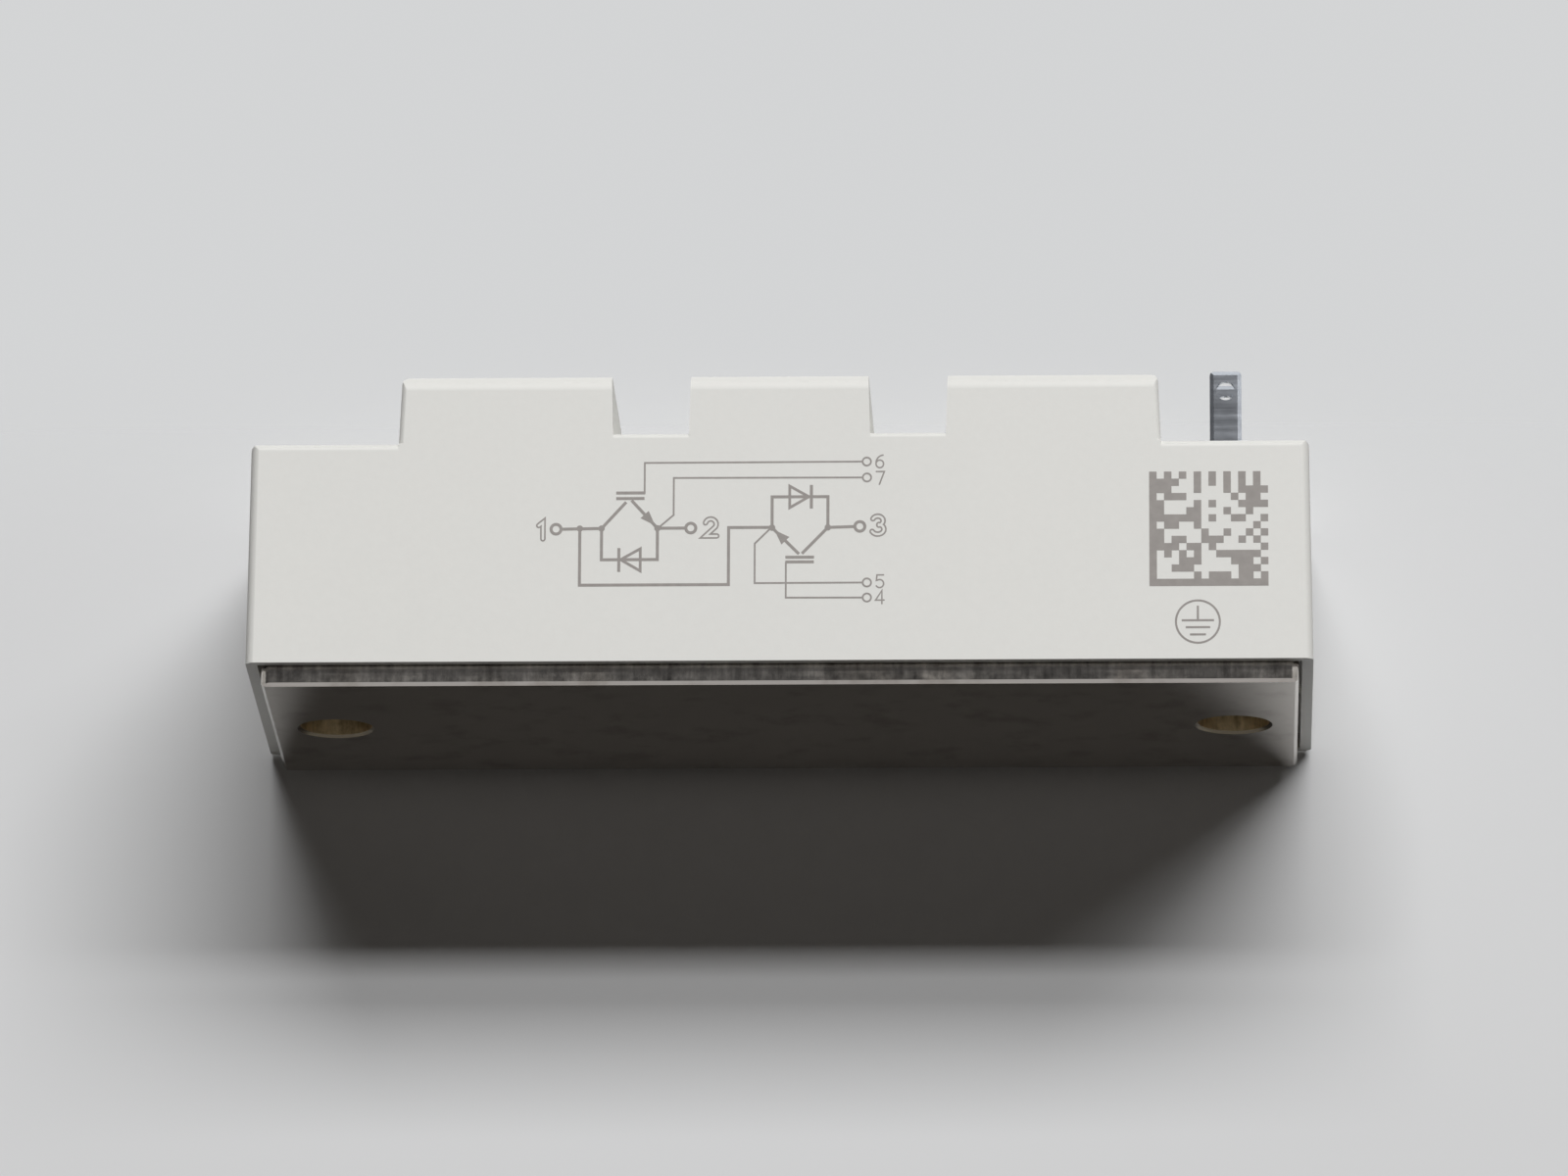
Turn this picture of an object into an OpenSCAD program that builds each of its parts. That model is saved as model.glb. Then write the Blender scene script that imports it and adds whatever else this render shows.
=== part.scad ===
// Half-bridge power semiconductor module in a 34 mm wide plastic case. All sizes are millimetres.
// The origin is the centre of the base plate's mounting face. +Z runs up to the screw terminals,
// X runs along the case, and -Y is the printed long side.

/* [Case] */
// Length of the case over its lower rim
case_l = 94; // [92:0.5:100]
// Width of the case over its lower rim
case_w = 34; // [33.5:0.5:38]
// Height of the lower rim's edge above the mounting face
rim_z = 1.8; // [1:0.1:2.6]
// Height of the two end shoulders
shoulder_z = 21.8; // [20:0.1:24]
// Rise of the floors of the two notches above the shoulders
notch_rise = 0.8; // [0:0.1:2]
// Rise of the terminal blocks above the shoulders
block_rise = 6.3; // [5.5:0.1:7]
// Length of each end zone, outside the three equal terminal fields
end_l = 12.5; // [12:0.1:13]
// Distance from each well to the near end of the outer block, at the block's top
block_gap = 0.6; // [0.5:0.1:1.5]
// Distance that each notch stands inwards of the middle between its two terminals
notch_shift = 0.15; // [0:0.05:0.4]
// Width of each notch, at the block tops
notch_w = 7; // [5:0.1:8]
// Thickness of the side walls
wall = 1.5; // [1.2:0.1:2]
// Thickness of the lower rim, outside the base plate
rim_t = 1; // [0.8:0.1:1.2]
// Thickness of the roofs over the inside
roof = 2; // [1.5:0.1:2.5]
// Draft of the long sides and ends, in degrees
side_draft = 0.8; // [0.3:0.1:1.2]
// Draft of the outer ends of the blocks, in degrees
block_draft = 2.5; // [2.5:0.5:6]
// Draft of the notch sides, in degrees
notch_draft = 1.5; // [0.5:0.5:3]

/* [Case edges] */
// Rounding of the case's vertical corners
corner_r = 0.9; // [0.4:0.1:1.2]
// Rounding of the block tops along the long sides
block_edge_r = 1.5; // [0.5:0.1:2]
// Rounding of the block tops at the outer ends
block_end_r = 1; // [0.4:0.1:1.5]
// Rounding of the blocks' outer vertical corners
block_corner_r = 0.6; // [0.3:0.1:1]
// Rounding of the shoulder tops
shoulder_edge_r = 0.65; // [0.3:0.05:1]
// Rounding of the notch floors along the long sides
notch_edge_r = 0.45; // [0.2:0.05:0.7]

/* [Base plate] */
// Thickness of the base plate
plate_t = 3; // [2.8:0.1:4]
// Rounding of the base plate's corners
plate_corner_r = 0.8; // [0.4:0.1:2]
// Chamfer of the base plate's lower edges
plate_chamfer = 0.3; // [0.1:0.05:0.6]
// Gap between the base plate's sides and the rim
plate_gap = 0.3; // [0.15:0.05:0.4]
// Thickness of the glue seam between the housing and the base plate
glue_t = 0.2; // [0.1:0.05:0.4]

/* [Mounting holes] */
// Distance from each end of the case to the mounting hole there
mount_inset = 7; // [6.8:0.1:7.5]
// Diameter of the mounting holes
mount_d = 6.4; // [5.4:0.1:7]
// Chamfer of the mounting holes
mount_chamfer = 0.25; // [0.1:0.05:0.6]
// Diameter of the wells that take the screw heads and washers
well_d = 12; // [11:0.1:12.4]
// Thickness of the wells' walls
well_wall = 1.2; // [0.8:0.1:1.5]

/* [Screw terminals] */
// Rise of the terminals' upper faces above the blocks
terminal_rise = 2.4; // [1.8:0.1:3]
// Thickness of the terminal sheet
terminal_t = 1; // [0.8:0.1:1.2]
// Width of each terminal's upper face
terminal_w = 11; // [10:0.5:12]
// Distance from a terminal's hole to its free edge
terminal_reach = 5.8; // [5:0.1:7]
// Diameter of the terminals' screw holes
terminal_hole_d = 5.5; // [5:0.1:6]
// Distance from a terminal's hole to the near face of its leg
leg_y = 6.2; // [6:0.1:7]
// Width of the terminal legs in the roof
leg_w = 8; // [6:0.5:9]
// Inner radius of the terminals' bends
bend_r = 0.5; // [0.3:0.1:0.7]
// Width of the terminals' feet on the circuit
foot_w = 3.4; // [2.6:0.1:3.8]
// Length of the flat part of the feet
foot_l = 3; // [2:0.1:3.4]
// Sideways shift of terminal 1's foot from its leg
foot_shift = 4; // [3:0.1:4.5]
// Distance from the copper's end to the foot of terminal 2
foot_inset = 0.5; // [0.3:0.1:1]
// Drop from the nut bosses to the underside of the terminals' crossbars
crossbar_drop = 5; // [4.5:0.1:5.5]
// Depth of the terminals' crossbars
crossbar_h = 3; // [2:0.1:3.5]
// Rounding of the terminals' corners
terminal_corner_r = 0.6; // [0.3:0.1:1]
// Clearance round each leg in its slot
leg_gap = 0.15; // [0.1:0.05:0.3]
// Rounding of the pedestals under the terminals
pedestal_r = 0.8; // [0.4:0.1:1.2]
// Ledge of the pedestals round the terminals
pedestal_rim = 0.6; // [0.3:0.1:1]

/* [Captive nuts] */
// Width of the nuts across their flats
nut_af = 8; // [7:0.1:8.4]
// Thickness of the nuts
nut_h = 4; // [3:0.1:4.5]
// Diameter of the nuts' threaded bore, at the thread's crests
nut_bore_d = 4.2; // [4:0.1:4.5]
// Clearance over the nuts, under the terminals
nut_play = 0.3; // [0.1:0.1:0.5]
// Clearance across the flats of the nut pockets
nut_gap = 0.2; // [0.1:0.05:0.4]
// Diameter of the screw pockets under the nuts
screw_pocket_d = 6; // [5.4:0.1:6.6]
// Depth of the screw pockets under the nuts
screw_pocket_h = 6; // [4:0.5:7]
// Thickness of the bosses' floors under the screw pockets
boss_floor = 1.2; // [0.8:0.1:1.6]
// Diameter of the bosses that hold the nuts
boss_d = 11.8; // [11.4:0.1:12]

/* [Signal tabs] */
// Length of the tabs above the shoulder
tab_rise = 7.1; // [6:0.1:8]
// Width of the tabs
tab_w = 2.8; // [2.4:0.1:3]
// Thickness of the tab sheet
tab_t = 0.5; // [0.4:0.1:0.8]
// Diameter of the small hole near each tab's end
tab_hole_d = 1.7; // [1:0.1:1.8]
// Distance from a tab's end to the centre of its hole
tab_hole_drop = 1.8; // [1.5:0.05:2.5]
// Distance that the tabs stand inwards of the mounting holes
tab_shift = 0.6; // [0:0.1:1]
// Width of the bevels along the tabs' edges
tab_bevel = 0.35; // [0.2:0.05:0.5]
// Depth of the bevels along the tabs' edges
tab_bevel_t = 0.12; // [0.08:0.02:0.18]
// Height above the shoulder where the tabs' bevels start
tab_bevel_start = 0.4; // [0:0.1:1]
// Rounding of the tabs' upper corners
tab_corner_r = 0.4; // [0.2:0.1:0.6]
// Gap between the inner tabs and the wells' walls
tab_clear = 1.05; // [0.8:0.05:1.4]
// Distance from the outer tabs' middle planes to the copper's edge
tab_inset = 0.3; // [0.3:0.05:0.6]
// Clearance round each tab in its slot
tab_gap = 0.1; // [0.05:0.05:0.2]
// Rise of the tabs' arms above the gel
arm_rise = 1; // [0.5:0.1:2]
// Depth of the tabs' arms
arm_h = 2; // [1.5:0.1:2.5]
// Width of the tabs' legs down to the circuit
lead_w = 1.2; // [0.8:0.1:1.4]
// Distance of tab 4's leg from its board's centre, and of tab 6's from its board's end
lead_x = 4; // [3:0.1:5]
// Distance of tab 5's leg from its board's centre
short_lead_x = 1; // [0:0.1:2]

/* [Circuit] */
// Distance from the middle to the near end of each ceramic board
board_x = 1; // [0.6:0.1:1.4]
// Gap between the boards and the wells
board_gap = 1.3; // [0.8:0.1:1.6]
// Gap between the boards and the long sides' walls
board_side_gap = 1; // [0.6:0.1:1.2]
// Thickness of the solder under the boards
board_solder_t = 0.2; // [0.1:0.05:0.3]
// Thickness of the copper on both faces of the boards
copper_t = 0.3; // [0.2:0.05:0.4]
// Thickness of the ceramic
ceramic_t = 0.4; // [0.3:0.05:0.7]
// Bare edge of the ceramic round the copper
copper_edge = 0.6; // [0.4:0.05:0.8]
// Gap between neighbouring tracks
track_gap = 0.8; // [0.5:0.1:1]
// Width of the gate tracks
gate_track_w = 1.3; // [1:0.1:1.5]
// Distance from a board's centre to the outer edge of its gate track's long arm
gate_x = 7.6; // [7.4:0.1:8.4]
// Distance from a board's long middle line to the edge of its collector track
collector_y = 4; // [3.6:0.1:4.4]
// Thickness of the solder under the chips
chip_solder_t = 0.1; // [0.05:0.05:0.2]
// Thickness of the chips
chip_t = 0.2; // [0.1:0.05:0.4]
// Side of the transistor chips
igbt_side = 8; // [6:0.5:8.5]
// Distance of the transistor chips from their boards' centres, towards the gate tracks
igbt_x = 2.3; // [1.8:0.1:2.4]
// Side of the diode chips
diode_side = 5.5; // [4:0.5:6]
// Distance from the diode chips to the copper's end
diode_end = 4.4; // [4:0.1:4.8]
// Distance from the transistor chips to the collector track's edge
igbt_inset = 1; // [0.6:0.1:1.4]
// Distance from the diode chips to the collector track's edge
diode_inset = 1.5; // [1:0.1:2]
// Diameter of the bond wires
wire_d = 0.4; // [0.3:0.05:0.5]
// Distance between neighbouring bond wires
wire_pitch = 1.1; // [0.8:0.1:1.2]
// Span of the bond wires from chip to track
wire_span = 6.5; // [6:0.1:7]
// Distance from the emitter track's edge to the bond wires' ends
wire_land = 2.2; // [1.8:0.1:2.6]
// Distance from the transistor chips' sides to the gates' bond wires
wire_inset = 0.6; // [0.4:0.1:0.8]
// Width of the strap that joins the two boards
link_w = 4; // [3:0.5:5]
// Thickness of the strap's sheet
link_t = 0.8; // [0.5:0.1:1]
// Rise of the strap over the chips
link_rise = 3; // [2.5:0.1:3.5]
// Reach of the strap's feet on to each board's copper
link_reach = 2.5; // [2:0.1:3]
// Drop from the terminals' crossbars to the gel's surface
gel_drop = 1; // [0.5:0.1:2]

/* [Hidden] */
$fn = 48;
// Overshoot of a cut past the face that it opens
cut = 1;
// Height of the roundings' arcs over the faces that they cross, so that they never only touch them
corner_lap = 0.02;

// Colours
ivory = [0.93, 0.92, 0.88];
nickel = [0.72, 0.72, 0.70];
tin = [0.62, 0.64, 0.66];
copper = [0.80, 0.50, 0.34];
solder_grey = [0.66, 0.67, 0.69];

// Case levels and faces
notch_z = shoulder_z + notch_rise;
block_z = shoulder_z + block_rise;
lapped_z = block_z + corner_lap;
ledge_z = plate_t + glue_t;
shoulder_roof_z = shoulder_z - roof;
block_roof_z = block_z - roof;
inner_l = case_l / 2 - wall - plate_gap;
inner_w = case_w / 2 - wall - plate_gap;
plate_l = case_l - 2 * (rim_t + plate_gap);
plate_w = case_w - 2 * (rim_t + plate_gap);
mount_x = case_l / 2 - mount_inset;
well_r = well_d / 2;
tube_r = well_r + well_wall;
terminal_pitch = (case_l - 2 * end_l) / 3;
notch_x = terminal_pitch / 2 - notch_shift;
block_end = mount_x - well_r - block_gap;
function half_l(z) = case_l / 2 - (z - rim_z) * tan(side_draft);
function half_w(z) = case_w / 2 - (z - rim_z) * tan(side_draft);
function block_half(z) = block_end + (block_z - z) * tan(block_draft);
function notch_half(z) = notch_w / 2 - (block_z - z) * tan(notch_draft);

// Terminal and tab levels
terminal_z = block_z + terminal_rise;
seat_z = terminal_z - terminal_t;
nut_z = seat_z - nut_play - nut_h;
screw_pocket_z = nut_z - screw_pocket_h;
boss_z = screw_pocket_z - boss_floor;
leg_back_y = leg_y + terminal_t;
seat_back_y = leg_y - bend_r;
crossbar_z = boss_z - crossbar_drop;
gel_z = crossbar_z - gel_drop;
arm_z = gel_z + arm_rise;
tab_z = shoulder_z + tab_rise;
tab_x = mount_x - tab_shift;

// Circuit levels
lower_copper_z = plate_t + board_solder_t;
ceramic_z = lower_copper_z + copper_t;
track_z = ceramic_z + ceramic_t;
track_top_z = track_z + copper_t;
chip_z = track_top_z + chip_solder_t;
chip_top_z = chip_z + chip_t;
wire_top_z = chip_top_z + (wire_span + wire_d) / 2;

// Circuit plan, seen from above on the low side's board with its centre at zero
board_l = mount_x - tube_r - board_gap - board_x;
board_w = 2 * (inner_w - board_side_gap);
board_cx = board_x + board_l / 2;
pad_l = board_l / 2 - copper_edge;
pad_w = board_w / 2 - copper_edge;
rail_y = collector_y + track_gap;
emitter_x = -gate_x + gate_track_w + track_gap / 2;
emitter_back_y = pad_w - gate_track_w - track_gap / 2;
diode_x = pad_l - diode_end - diode_side / 2;
igbt_pos = [-igbt_x, collector_y - igbt_inset - igbt_side / 2];
diode_pos = [diode_x, collector_y - diode_inset - diode_side / 2];
wire_end_y = rail_y + wire_land;
wire_start_y = wire_end_y - wire_span;
link_y = -(rail_y + emitter_back_y) / 2;
link_z = chip_top_z + link_rise;

// Planes of tabs 4 to 7, the near sides of their legs, and the shifts of the three terminals' feet
tab_y = tube_r + tab_clear + tab_t / 2;
tab_far_y = pad_w - tab_inset;
tab_ys = [-tab_far_y, -tab_y, tab_far_y, tab_y];
lead_xs = [board_cx + lead_x, board_cx + short_lead_x,
    -board_x - copper_edge - lead_x, diode_x - board_cx];
foot_shifts = [-foot_shift, -(board_x + copper_edge + foot_w / 2 + foot_inset), 0];

// A flat outline with all four corners rounded
module rounded_rectangle(l, w, r) {
    square([l - 2 * r, w], center = true);
    square([l, w - 2 * r], center = true);
    for (x = [-1, 1], y = [-1, 1]) translate([x * (l / 2 - r), y * (w / 2 - r)]) circle(r);
}

// What has to go from a corner at p, between edges that leave it along a and b, to round it to radius r
module corner_waste(p, a, b, r) {
    u = a / norm(a);
    v = b / norm(b);
    middle = (u + v) / norm(u + v);
    half = acos(u * middle);
    reach = r / tan(half);
    centre = p + middle * r / sin(half);
    difference() {
        polygon([p - middle * r, p + u * reach, centre, p + v * reach]);
        translate(centre) circle(r);
    }
}

// A profile drawn in X and Z, extruded along Y
module along_y(w) { rotate([90, 0, 0]) linear_extrude(w, center = true) children(); }

// A profile drawn in Y and Z, extruded along X
module along_x(l) { rotate([90, 0, 90]) linear_extrude(l, center = true) children(); }

// Front outline of the case, with its shoulders, blocks and notches
module case_front() {
    shoulder_l = half_l(shoulder_z);
    difference() {
        polygon([[-half_l(rim_z), rim_z], [half_l(rim_z), rim_z], [shoulder_l, shoulder_z],
            [block_half(shoulder_z), shoulder_z], [block_end, block_z], [-block_end, block_z],
            [-block_half(shoulder_z), shoulder_z], [-shoulder_l, shoulder_z]]);
        for (s = [-1, 1]) {
            translate([s * notch_x, 0]) polygon([
                [-notch_half(notch_z), notch_z], [notch_half(notch_z), notch_z],
                [notch_half(block_z + cut), block_z + cut], [-notch_half(block_z + cut), block_z + cut]]);
            corner_waste([s * block_half(lapped_z), lapped_z], [-s, 0],
                [s * tan(block_draft), -1], block_end_r);
            corner_waste([s * shoulder_l, shoulder_z], [-s, 0],
                [s * tan(side_draft), -1], shoulder_edge_r);
        }
    }
}

// End outline of the case
module case_end() {
    difference() {
        polygon([[-half_w(rim_z), rim_z], [half_w(rim_z), rim_z],
            [half_w(block_z), block_z], [-half_w(block_z), block_z]]);
        for (s = [-1, 1]) long_edge_waste(s, block_z, block_edge_r);
    }
}

// Waste that rounds a long edge at height z, on the side s
module long_edge_waste(s, z, r) {
    corner_waste([s * half_w(z + corner_lap), z + corner_lap], [-s, 0], [s * tan(side_draft), -1], r);
}

// Waste that rounds a vertical corner, which leans inwards by lean_x and lean_y. Its arc crosses the
// two faces at a small angle instead of only touching them.
module upright_edge_waste(x, y, z, sx, sy, r, lean_x, lean_y, h) {
    centre = [-sx, -sy] * (r - corner_lap);
    translate([x, y, z]) rotate([sy * lean_y, -sx * lean_x, 0])
        translate([0, 0, -cut]) linear_extrude(h + 2 * cut) difference() {
            polygon([centre, [sx * cut, centre[1]], [sx, sy] * cut, [centre[0], sy * cut]]);
            translate(centre) circle(r);
        }
}

// Outer form of the case, before it is hollowed
module case_body() {
    difference() {
        intersection() {
            along_y(case_w + cut) case_front();
            along_x(case_l + cut) case_end();
        }
        for (sx = [-1, 1], sy = [-1, 1]) {
            upright_edge_waste(sx * case_l / 2, sy * case_w / 2, rim_z, sx, sy,
                corner_r, side_draft, side_draft, shoulder_z - rim_z);
            intersection() {
                upright_edge_waste(sx * block_half(shoulder_z), sy * half_w(shoulder_z), shoulder_z, sx, sy,
                    block_corner_r, block_draft, side_draft, block_z - shoulder_z);
                span([-case_l, -case_w, shoulder_z], [case_l, case_w, block_z + cut]);
            }
        }
        shoulder_l = case_l / 2 - block_half(shoulder_z);
        for (sx = [-1, 1], sy = [-1, 1]) {
            translate([sx * (block_half(shoulder_z) + shoulder_l / 2), 0, 0])
                along_x(shoulder_l) long_edge_waste(sy, shoulder_z, shoulder_edge_r);
            translate([sx * notch_x, 0, 0])
                along_x(2 * notch_half(notch_z)) long_edge_waste(sy, notch_z, notch_edge_r);
        }
    }
}

// A box given by its lowest and highest corners
module span(low, high) { translate(low) cube(high - low); }

// Hollow of the housing, open at the bottom
module case_hollow() {
    span([-plate_l / 2 - plate_gap, -plate_w / 2 - plate_gap, -cut],
        [plate_l / 2 + plate_gap, plate_w / 2 + plate_gap, ledge_z]);
    span([-inner_l, -inner_w, ledge_z - cut], [inner_l, inner_w, shoulder_roof_z]);
    middle_half = notch_x - notch_w / 2 - wall;
    outer_near = notch_x + notch_w / 2 + wall;
    outer_far = block_end - wall;
    span([-middle_half, -inner_w, shoulder_roof_z - cut], [middle_half, inner_w, block_roof_z]);
    span([outer_near, -inner_w, shoulder_roof_z - cut], [outer_far, inner_w, block_roof_z]);
    span([-outer_far, -inner_w, shoulder_roof_z - cut], [-outer_near, inner_w, block_roof_z]);
}

// Ivory moulding: the walls, roofs, wells, nut bosses and terminal pedestals are one piece
module housing() {
    color(ivory) difference() {
        union() {
            difference() {
                case_body();
                case_hollow();
            }
            intersection() {
                case_body();
                union() {
                    for (s = [-1, 1]) translate([s * mount_x, 0, ledge_z])
                        cylinder(h = shoulder_z - ledge_z, r = tube_r);
                    for (i = [-1:1]) translate([i * terminal_pitch, 0, boss_z])
                        cylinder(h = block_z - boss_z, d = boss_d);
                }
            }
            for (i = [-1:1]) translate([i * terminal_pitch, 0, block_roof_z]) pedestal();
        }
        for (s = [-1, 1]) translate([s * mount_x, 0, -cut])
            cylinder(h = shoulder_z + 2 * cut, r = well_r);
        for (i = [-1:1]) translate([i * terminal_pitch, 0, 0]) terminal_pocket();
        for (y = tab_ys) tab_slot(y);
    }
}

// Raised seat under a terminal
module pedestal() {
    low_y = -terminal_reach - pedestal_rim;
    high_y = leg_back_y + leg_gap + pedestal_rim;
    translate([0, (low_y + high_y) / 2, 0]) linear_extrude(seat_z - block_roof_z)
        rounded_rectangle(terminal_w + 2 * pedestal_rim, high_y - low_y, pedestal_r);
}

// Nut pocket, screw pocket and leg slot under a terminal
module terminal_pocket() {
    translate([0, 0, nut_z]) cylinder(h = seat_z - nut_z + cut, d = (nut_af + nut_gap) / cos(30), $fn = 6);
    translate([0, 0, screw_pocket_z]) cylinder(h = seat_z - screw_pocket_z, d = screw_pocket_d);
    span([-leg_w / 2 - leg_gap, seat_back_y - leg_gap, boss_z - cut],
        [leg_w / 2 + leg_gap, leg_back_y + leg_gap, seat_z + cut]);
}

// Slot for a signal tab in the shoulder's roof
module tab_slot(y) {
    span([tab_x - tab_w / 2 - tab_gap, y - tab_t / 2 - tab_gap, shoulder_roof_z - cut],
        [tab_x + tab_w / 2 + tab_gap, y + tab_t / 2 + tab_gap, shoulder_z + cut]);
}

// Nickel-plated copper plate that passes the heat on
module base_plate() {
    color(nickel) difference() {
        intersection() {
            linear_extrude(plate_t) rounded_rectangle(plate_l, plate_w, plate_corner_r);
            along_y(plate_w + cut) chamfered_section(plate_l);
            along_x(plate_l + cut) chamfered_section(plate_w);
        }
        for (s = [-1, 1]) translate([s * mount_x, 0, 0]) {
            translate([0, 0, -cut]) cylinder(h = plate_t + 2 * cut, d = mount_d);
            translate([0, 0, -cut]) cylinder(h = mount_chamfer + cut,
                r1 = mount_d / 2 + mount_chamfer + cut, r2 = mount_d / 2);
        }
    }
}

// Section of the plate, with its lower edges chamfered
module chamfered_section(l) {
    half = l / 2;
    polygon([[-half + plate_chamfer, 0], [half - plate_chamfer, 0], [half, plate_chamfer],
        [half, plate_t], [-half, plate_t], [-half, plate_chamfer]]);
}

// Glue between the housing's ledge and wells and the base plate
module adhesive_bead() {
    color([0.85, 0.84, 0.78]) translate([0, 0, plate_t]) linear_extrude(glue_t) difference() {
        union() {
            difference() {
                square([plate_l, plate_w], center = true);
                square([2 * inner_l, 2 * inner_w], center = true);
            }
            for (s = [-1, 1]) translate([s * mount_x, 0]) intersection() {
                circle(tube_r);
                translate([-s * mount_x, 0]) square([plate_l, plate_w], center = true);
            }
        }
        for (s = [-1, 1]) translate([s * mount_x, 0]) circle(well_r);
    }
}

// Leg of a terminal seen edge-on: a bend from the seat, the leg at y = leg_y, and a bend to the foot
module terminal_profile() {
    outer = bend_r + terminal_t;
    lower = [leg_back_y + bend_r, track_top_z + terminal_t + bend_r];
    translate([seat_back_y - cut, seat_z]) square([cut, terminal_t]);
    translate([seat_back_y, seat_z - bend_r]) bend(outer, 0);
    translate([leg_y, lower[1]]) square([terminal_t, seat_z - bend_r - lower[1]]);
    translate(lower) bend(outer, 180);
    translate([lower[0], track_top_z]) square([foot_l, terminal_t]);
}

// Quarter of a bent sheet's section, turned by the angle given
module bend(outer, angle) {
    rotate(angle) intersection() {
        difference() {
            circle(outer);
            circle(bend_r);
        }
        square(outer);
    }
}

// Front outline of a terminal's leg, crossbar and foot strip, with the foot moved by shift
module terminal_face(shift) {
    bar_low = min(-leg_w / 2, shift - foot_w / 2);
    bar_high = max(leg_w / 2, shift + foot_w / 2);
    translate([-leg_w / 2, crossbar_z]) square([leg_w, terminal_z - crossbar_z + cut]);
    translate([bar_low, crossbar_z]) square([bar_high - bar_low, crossbar_h]);
    translate([shift - foot_w / 2, 0]) square([foot_w, crossbar_z + crossbar_h]);
}

// Screw terminal number n, cut and bent from one strip; its seat is wider than its leg
module terminal(n) {
    color(nickel) translate([(n - 2) * terminal_pitch, 0, 0]) difference() {
        union() {
            translate([0, (seat_back_y - terminal_reach) / 2, seat_z]) linear_extrude(terminal_t)
                rounded_rectangle(terminal_w, terminal_reach + seat_back_y, terminal_corner_r);
            intersection() {
                along_x(3 * terminal_w) terminal_profile();
                along_y(4 * (leg_back_y + bend_r + foot_l)) terminal_face(foot_shifts[n - 1]);
            }
        }
        translate([0, 0, seat_z - cut]) cylinder(h = terminal_t + 2 * cut, d = terminal_hole_d);
    }
}

module terminal_1() { terminal(1); }
module terminal_2() { terminal(2); }
module terminal_3() { terminal(3); }

// Captive nuts, one under each terminal
module terminal_nuts() {
    color(nickel) for (i = [-1:1]) translate([i * terminal_pitch, 0, nut_z]) difference() {
        cylinder(h = nut_h, d = nut_af / cos(30), $fn = 6);
        translate([0, 0, -cut]) cylinder(h = nut_h + 2 * cut, d = nut_bore_d);
    }
}

// Signal tab number n: its blade, arm and leg are stamped from one sheet
module tab(n) {
    blade_low = tab_x - tab_w / 2;
    blade_high = tab_x + tab_w / 2;
    leg_x = lead_xs[n - 4];
    y = tab_ys[n - 4];
    color(tin) difference() {
        translate([0, y, 0]) along_y(tab_t) difference() {
            union() {
                translate([blade_low, arm_z]) square([tab_w, tab_z - arm_z]);
                translate([leg_x, arm_z]) square([blade_high - leg_x, arm_h]);
                translate([leg_x, track_top_z]) square([lead_w, arm_z + arm_h - track_top_z]);
            }
            corner_waste([blade_low, tab_z], [1, 0], [0, -1], tab_corner_r);
            corner_waste([blade_high, tab_z], [-1, 0], [0, -1], tab_corner_r);
            translate([tab_x, tab_z - tab_hole_drop]) circle(d = tab_hole_d);
        }
        for (s = [-1, 1]) blade_bevel_waste(y + s * tab_t / 2, s);
    }
}

// Waste of the bevels along a blade's two long edges and its end, on its face at y that looks to side s
module blade_bevel_waste(y, s) {
    b = tab_bevel;
    t = tab_bevel_t;
    translate([tab_x, y, shoulder_z + tab_bevel_start]) linear_extrude(tab_rise) for (e = [-1, 1])
        polygon([[e * (tab_w / 2 - b), 0], [e * (tab_w / 2 + b), -2 * s * t],
            [e * (tab_w / 2 + b), s * t], [e * (tab_w / 2 - b), s * t]]);
    translate([tab_x, y, tab_z]) along_x(tab_w + cut)
        polygon([[0, -b], [-2 * s * t, b], [s * t, b], [s * t, -b]]);
}

module tab_4() { tab(4); }
module tab_5() { tab(5); }
module tab_6() { tab(6); }
module tab_7() { tab(7); }

// Puts the low side's board in place, or the high side's, which is the same turned half round
module on_board(high) {
    rotate(high ? 180 : 0) translate([-board_cx, 0, 0]) children();
}

// A slab with its centre at pos, from height z up
module slab(pos, size, z, t) {
    translate([pos[0], pos[1], z]) linear_extrude(t) square(size, center = true);
}

module plate_solder(high) {
    color(solder_grey) on_board(high)
        slab([0, 0], [2 * pad_l, 2 * pad_w], plate_t, board_solder_t);
}

module lower_copper(high) {
    color(copper) on_board(high) slab([0, 0], [2 * pad_l, 2 * pad_w], lower_copper_z, copper_t);
}

module ceramic(high) {
    color([0.95, 0.95, 0.93]) on_board(high) slab([0, 0], [board_l, board_w], ceramic_z, ceramic_t);
}

// Track under the chips, with an arm beside the gate's track
module collector_track(high) {
    color(copper) on_board(high) translate([0, 0, track_z]) linear_extrude(copper_t) polygon([
        [-pad_l, -pad_w], [pad_l, -pad_w], [pad_l, collector_y],
        [-gate_x - track_gap / 2, collector_y], [-gate_x - track_gap / 2, pad_w], [-pad_l, pad_w]]);
}

module emitter_track(high) {
    color(copper) on_board(high) translate([0, 0, track_z]) linear_extrude(copper_t) polygon([
        [emitter_x, rail_y], [pad_l, rail_y], [pad_l, emitter_back_y], [emitter_x, emitter_back_y]]);
}

// Narrow track round the emitter's track to the transistor's gate
module gate_track(high) {
    color(copper) on_board(high) translate([0, 0, track_z]) linear_extrude(copper_t) polygon([
        [-gate_x, rail_y], [gate_track_w - gate_x, rail_y], [gate_track_w - gate_x, pad_w - gate_track_w],
        [pad_l, pad_w - gate_track_w], [pad_l, pad_w], [-gate_x, pad_w]]);
}

module chip_solder(high) {
    color(solder_grey) on_board(high) {
        slab(igbt_pos, [igbt_side, igbt_side], track_top_z, chip_solder_t);
        slab(diode_pos, [diode_side, diode_side], track_top_z, chip_solder_t);
    }
}

module igbt_chip(high) {
    color([0.35, 0.36, 0.40]) on_board(high) slab(igbt_pos, [igbt_side, igbt_side], chip_z, chip_t);
}

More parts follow.
